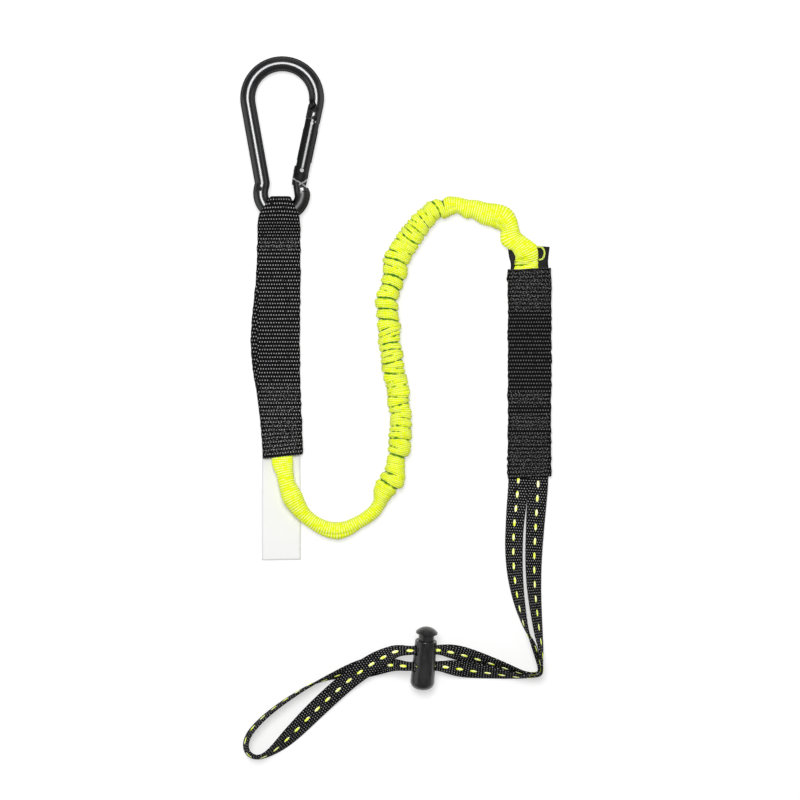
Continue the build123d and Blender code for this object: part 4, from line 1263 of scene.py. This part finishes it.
def block(rows, left, right, tilt=0.0):
    """Stitches of a block: where, and which way. Rows, left and right are in millimetres."""
    top, bottom = (row * MM for row in rows)
    count = round((top - bottom) / STITCH_ROW)
    found = []
    for number in range(count + 1):
        height = top - number * (top - bottom) / count
        start = left * MM + SEAM_EDGE + (number % 2) * STITCH / 2
        for across in np.arange(start, right * MM - SEAM_EDGE - STITCH / 2, STITCH + STITCH_GAP):
            middle = across + STITCH / 2
            sway = random.normal(0, STITCH_SWAY)
            level = height + sway + radians(tilt) * (middle - left * MM)
            found.append((middle, level, radians(tilt) + random.normal(0, STITCH_TURN)))
    return found


def drop(cloth, stitches):
    """Lays stitches on a piece of cloth from above."""
    mesh = cloth.data
    tree = BVHTree.FromPolygons(
        [vertex.co for vertex in mesh.vertices], [face.vertices[:] for face in mesh.polygons]
    )
    places, ways, normals = [], [], []
    for x, y, turn in stitches:
        spot, normal, _, _ = tree.ray_cast(Vector((x, y, 0.1)), Vector((0, 0, -1)))
        if spot is None:
            continue
        normal = (normal + Vector((0, 0, 2))).normalized()
        places.append(spot[:])
        ways.append((cos(turn), sin(turn), 0))
        normals.append(normal[:])
    return places, ways, normals


random = np.random.default_rng(SEWING_SEED)
front = bpy.data.objects["tool_webbing_front"]
SEAMS = {
    # piece: (cloth, CAD node, blocks of (highest and lowest row), left, right and tilt)
    "anchor_tack_sewing": (anchor, "anchor_tack_stitches", [((79.0, 73.2), -82.6, -57.0, 0)]),
    "anchor_middle_sewing": (anchor, "anchor_middle_stitches", [((-9.0, -18.4), -82.3, -56.8, 2)]),
    "anchor_end_sewing": (
        anchor,
        "anchor_end_stitches",
        [((-23.0, -25.0), -82.0, -56.2, 3.5), ((-28.6, -49.6), -80.6, -56.2, 3.5)],
    ),
    "tool_upper_sewing": (front, "tool_upper_stitches", [((60.8, 37.0), 67.3, 93.4, 0)]),
    "tool_middle_sewing": (
        front,
        "tool_middle_stitches",
        [((-12.6, -19.0), 67.4, 93.3, 0), ((-25.8, -33.4), 67.4, 93.2, 0)],
    ),
    "tool_lower_sewing": (
        front,
        "tool_lower_stitches",
        [((-37.8, -43.6), 67.3, 93.2, 0), ((-45.6, -62.0), 67.3, 93.2, 0)],
    ),
}
for name, (cloth, node, blocks) in SEAMS.items():
    stitches = [stitch for rows, left, right, tilt in blocks for stitch in block(rows, left, right, tilt)]
    size = (STITCH, STITCH_WIDE, STITCH_HIGH)
    sew(name, *drop(cloth, stitches), size, sewing_thread, "lanyard", "black_thread", node)

# %% [markdown]
# ## The thread loop
#
# A short loop of the same bright thread comes out from under the bungee's edge. Its line
# is another NURBS spline, and a bump along the thread's own length twists two plies.

# %% Thread loop
THREAD_RADIUS, THREAD_STEP, THREAD_AROUND = 0.6 * MM, 0.25 * MM, 12
PLY_PITCH = 1.63 * MM
THREAD_LINE = [
    (83.0, 74.4, 3.6),
    (85.4, 75.2, 2.6),
    (88.4, 74.6, 1.9),
    (89.6, 71.4, 1.7),
    (88.6, 68.0, 1.8),
    (86.4, 67.0, 2.2),
    (84.0, 67.6, 3.2),
]
thread_spots, thread_line = even(along_nurbs(np.array(THREAD_LINE) * MM), THREAD_STEP)
thread_mesh = tube(thread_line, thread_spots, THREAD_RADIUS, THREAD_AROUND)
twisted = Finish("bright_twisted_thread", Roughness=0.55)
along, across = twisted.cloth()
plies = (along + across * 0.9).wave(PLY_PITCH)
twisted.surface(
    Base_Color=twisted.mix(plies.step(-0.9, 0.6), (0.55, 0.8, 0.01, 1), (0.95, 0.99, 0.22, 1)),
    Normal=twisted.bump(plies, 0.2 * MM),
)
thread = finished("bright_thread_loop", thread_mesh, twisted, "lanyard")
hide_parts("thread_loop")
print("thread loop length:", round(float(thread_spots[-1]), 4))

# %% [markdown]
# ## Metal
#
# The CAD model already has the right form for the carabiner and the cord lock, so those
# nodes stay and only get a finish. Black anodising is a thin satin oxide: nearly black, a
# little glossy, with a very fine grain. Where the gate works against the body it has rubbed
# through to bright aluminium. In some round patches a darker, rougher painted shade dims
# the lamp's reflection.

# %% Anodised finish
# the colour of the painted shade that dims the lamp's reflection
PAINTED_SHADE_BLACK = (0.02, 0.02, 0.021, 1)
BARE_ALUMINIUM = (0.6, 0.6, 0.605, 1)


def anodised(name, black, worn_edges, painted_shade_places):
    """Black anodising, worn bright along some edges, and with a darker, rougher painted shade in some
    round patches.

    An edge has two ends and a half width, and a patch of painted shade has a middle, a reach
    and a height above which it isn't shaded, all in millimetres, and the share of the shading.
    """
    metal = Finish(name, Metallic=1.0, Specular_Tint=(0.25, 0.25, 0.25, 1))
    where = metal.place()
    x, y, z = metal.axes(where)
    fine = metal.noise(where, 1500, 3)
    broad = metal.noise(where, 90, 3)
    bare = fine * 0.0
    for x1, y1, x2, y2, half in worn_edges:
        run = np.hypot(x2 - x1, y2 - y1)
        way_x, way_y = (x2 - x1) / run, (y2 - y1) / run
        from_x, from_y = x - x1 * MM, y - y1 * MM
        beside = (from_x * way_y - from_y * way_x).math("ABSOLUTE")
        ahead = from_x * way_x + from_y * way_y
        past = (ahead - run / 2 * MM).math("ABSOLUTE") - run / 2 * MM
        near = beside.math("MAXIMUM", past) + (broad - 0.5) * half * MM
        bare = bare.math("MAXIMUM", (near / (half * MM)).step(1.1, 0.7) * fine.step(0.34, 0.52))
    # painted shade: darker, rougher round patches that dim the reflection of the lamp
    painted_shade = fine * 0.0
    for middle_x, middle_y, reach, top, share in painted_shade_places:
        from_x, from_y = x - middle_x * MM, y - middle_y * MM
        away = (from_x * from_x + from_y * from_y).math("SQRT")
        below = z.step((top + 0.1) * MM, (top - 0.1) * MM)
        painted_shade = painted_shade.math("MAXIMUM", away.step(reach * MM, reach * 0.6 * MM) * share * below)
    shade = metal.mix(painted_shade, (black, black, black * 1.02, 1), PAINTED_SHADE_BLACK)
    metal.surface(
        Base_Color=metal.mix(bare, shade, BARE_ALUMINIUM),
        Roughness=0.17 + broad * 0.1 + bare * 0.3 + painted_shade * 0.4,
        Normal=metal.bump(fine, 0.012 * MM),
    )
    return metal


def coat(finish, *nodes):
    """Gives CAD nodes a finish through their own material slots."""
    for node in nodes:
        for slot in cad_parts[node].material_slots:
            slot.material = finish.material
    print(finish.material.name, "on", ", ".join(nodes))


body_metal = anodised(
    "black_anodising_body",
    0.07,
    [
        (-61.8, 115.8, -57.0, 113.2, 0.6),
        (-57.2, 113.0, -53.2, 110.6, 0.5),
        (-57.4, 111.8, -52.4, 115.2, 0.5),
        (-52.0, 115.6, -52.4, 112.4, 0.3),
        (-55.6, 109.8, -55.2, 108.8, 0.5),
    ],
    # patches of painted shade
    [
        (-55.9, 120.4, 14.0, 7.8, 1.0),
        (-56.0, 112.6, 3.2, 30.0, 1.0),
        (-54.6, 101.0, 9.0, 30.0, 0.45),
        (-80.9, 109.4, 1.6, 30.0, 1.0),
        (-50.9, 160.7, 2.0, 30.0, 1.0),
        (-48.2, 157.4, 2.9, 30.0, 1.0),
        (-48.4, 151.6, 1.9, 30.0, 1.0),
    ],
)
gate_metal = anodised(
    "black_anodising_gate",
    0.05,
    [(-61.3, 115.9, -58.6, 114.6, 0.3)],
    # a patch of painted shade below the rivet
    [(-56.7, 117.4, 3.4, 30.0, 1.0)],
)
coat(body_metal, "carabiner_body")
coat(gate_metal, "carabiner_gate", "gate_latch_pin")

# %% [markdown]
# ## Steel parts and springs
#
# The gate's small plunger, its spring and the lock's spring are bare drawn steel. Each
# spring is a steel copy of its CAD node, measured between its two ends along the way that
# its plunger is pressed. The gate's rivet is darker.

# %% Bare steel and springs
GATE_SPRING_WAY = (0.205635, 0.978445, -0.018987)  # the way each plunger goes when it is pressed
LOCK_SPRING_WAY = (-0.085251, -0.974425, -0.207912)

steel = Finish("bright_steel", Metallic=1.0)
drawn = steel.noise(steel.place(), 800, 2)
steel.surface(
    Base_Color=steel.mix(drawn, (0.5, 0.5, 0.52, 1), (0.68, 0.68, 0.69, 1)),
    Roughness=drawn * 0.3 + 0.12,
    Normal=steel.bump(drawn, 0.01 * MM),
)
coat(steel, "gate_plunger")


def springy(node, name, press):
    """Replaces a CAD spring by a steel copy, measured along the way its plunger is pressed."""
    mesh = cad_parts[node].data.copy()
    spots = np.array([vertex.co[:] for vertex in mesh.vertices])
    middle, way = spots.mean(0), -unit(np.array(press))
    ends = ((spots - middle) @ way).min(), ((spots - middle) @ way).max()
    spring = finished(name, mesh, steel, None)
    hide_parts(node)
    start, end = (tuple((middle + way * reach).tolist()) for reach in ends)
    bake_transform(spring)
    print(name, "is", round(float(ends[1] - ends[0]), 4), "m long at rest")


springy("gate_spring", "gate_coil", GATE_SPRING_WAY)
springy("lock_spring", "lock_coil", LOCK_SPRING_WAY)

rivet = Finish("dark_rivet", Metallic=1.0)
turned = rivet.noise(rivet.place(), 900, 2)
rivet.surface(
    Base_Color=rivet.mix(turned, (0.02, 0.02, 0.021, 1), (0.09, 0.09, 0.092, 1)),
    Roughness=turned * 0.25 + 0.18,
)
coat(rivet, "gate_pivot_pin")

# %% [markdown]
# ## The cord lock
#
# The lock is moulded in black plastic with a satin surface. The mould leaves a very fine,
# even grain, which is a bump. Handling has polished it a little unevenly: a thin clear coat
# lies over a roughness that varies with a broader noise, and the same noise paints lighter
# streaks of reflection into the colour. That noise is squeezed in x and z, so that it is
# drawn out into streaks along y.

# %% Lock finish
moulded = Finish(
    "moulded_black_plastic", Coat_Weight=0.6, Coat_Roughness=0.16, Specular_IOR_Level=0.4
)
where = moulded.place()
x, y, z = moulded.axes(where)
grain = moulded.noise(where, 2600, 2)
streaks = moulded.node("ShaderNodeCombineXYZ", {}, {"X": x * 3.0, "Y": y, "Z": z * 2.0})
# streaks of uneven polish in the roughness, and of painted reflection in the colour
polish_and_painted_sheen = moulded.noise(streaks, 130, 4).step(0.3, 0.7)
moulded.surface(
    Base_Color=moulded.mix(polish_and_painted_sheen, (0.005, 0.005, 0.0055, 1), (0.014, 0.014, 0.0145, 1)),
    Roughness=polish_and_painted_sheen * 0.25 + 0.2,
    Normal=moulded.bump(grain, 0.03 * MM),
)
coat(moulded, "lock_barrel", "lock_plunger")

# %% [markdown]
# ## The last update
#
# The view layer is brought up to date once more.

# %% Last update
bpy.context.view_layer.update()
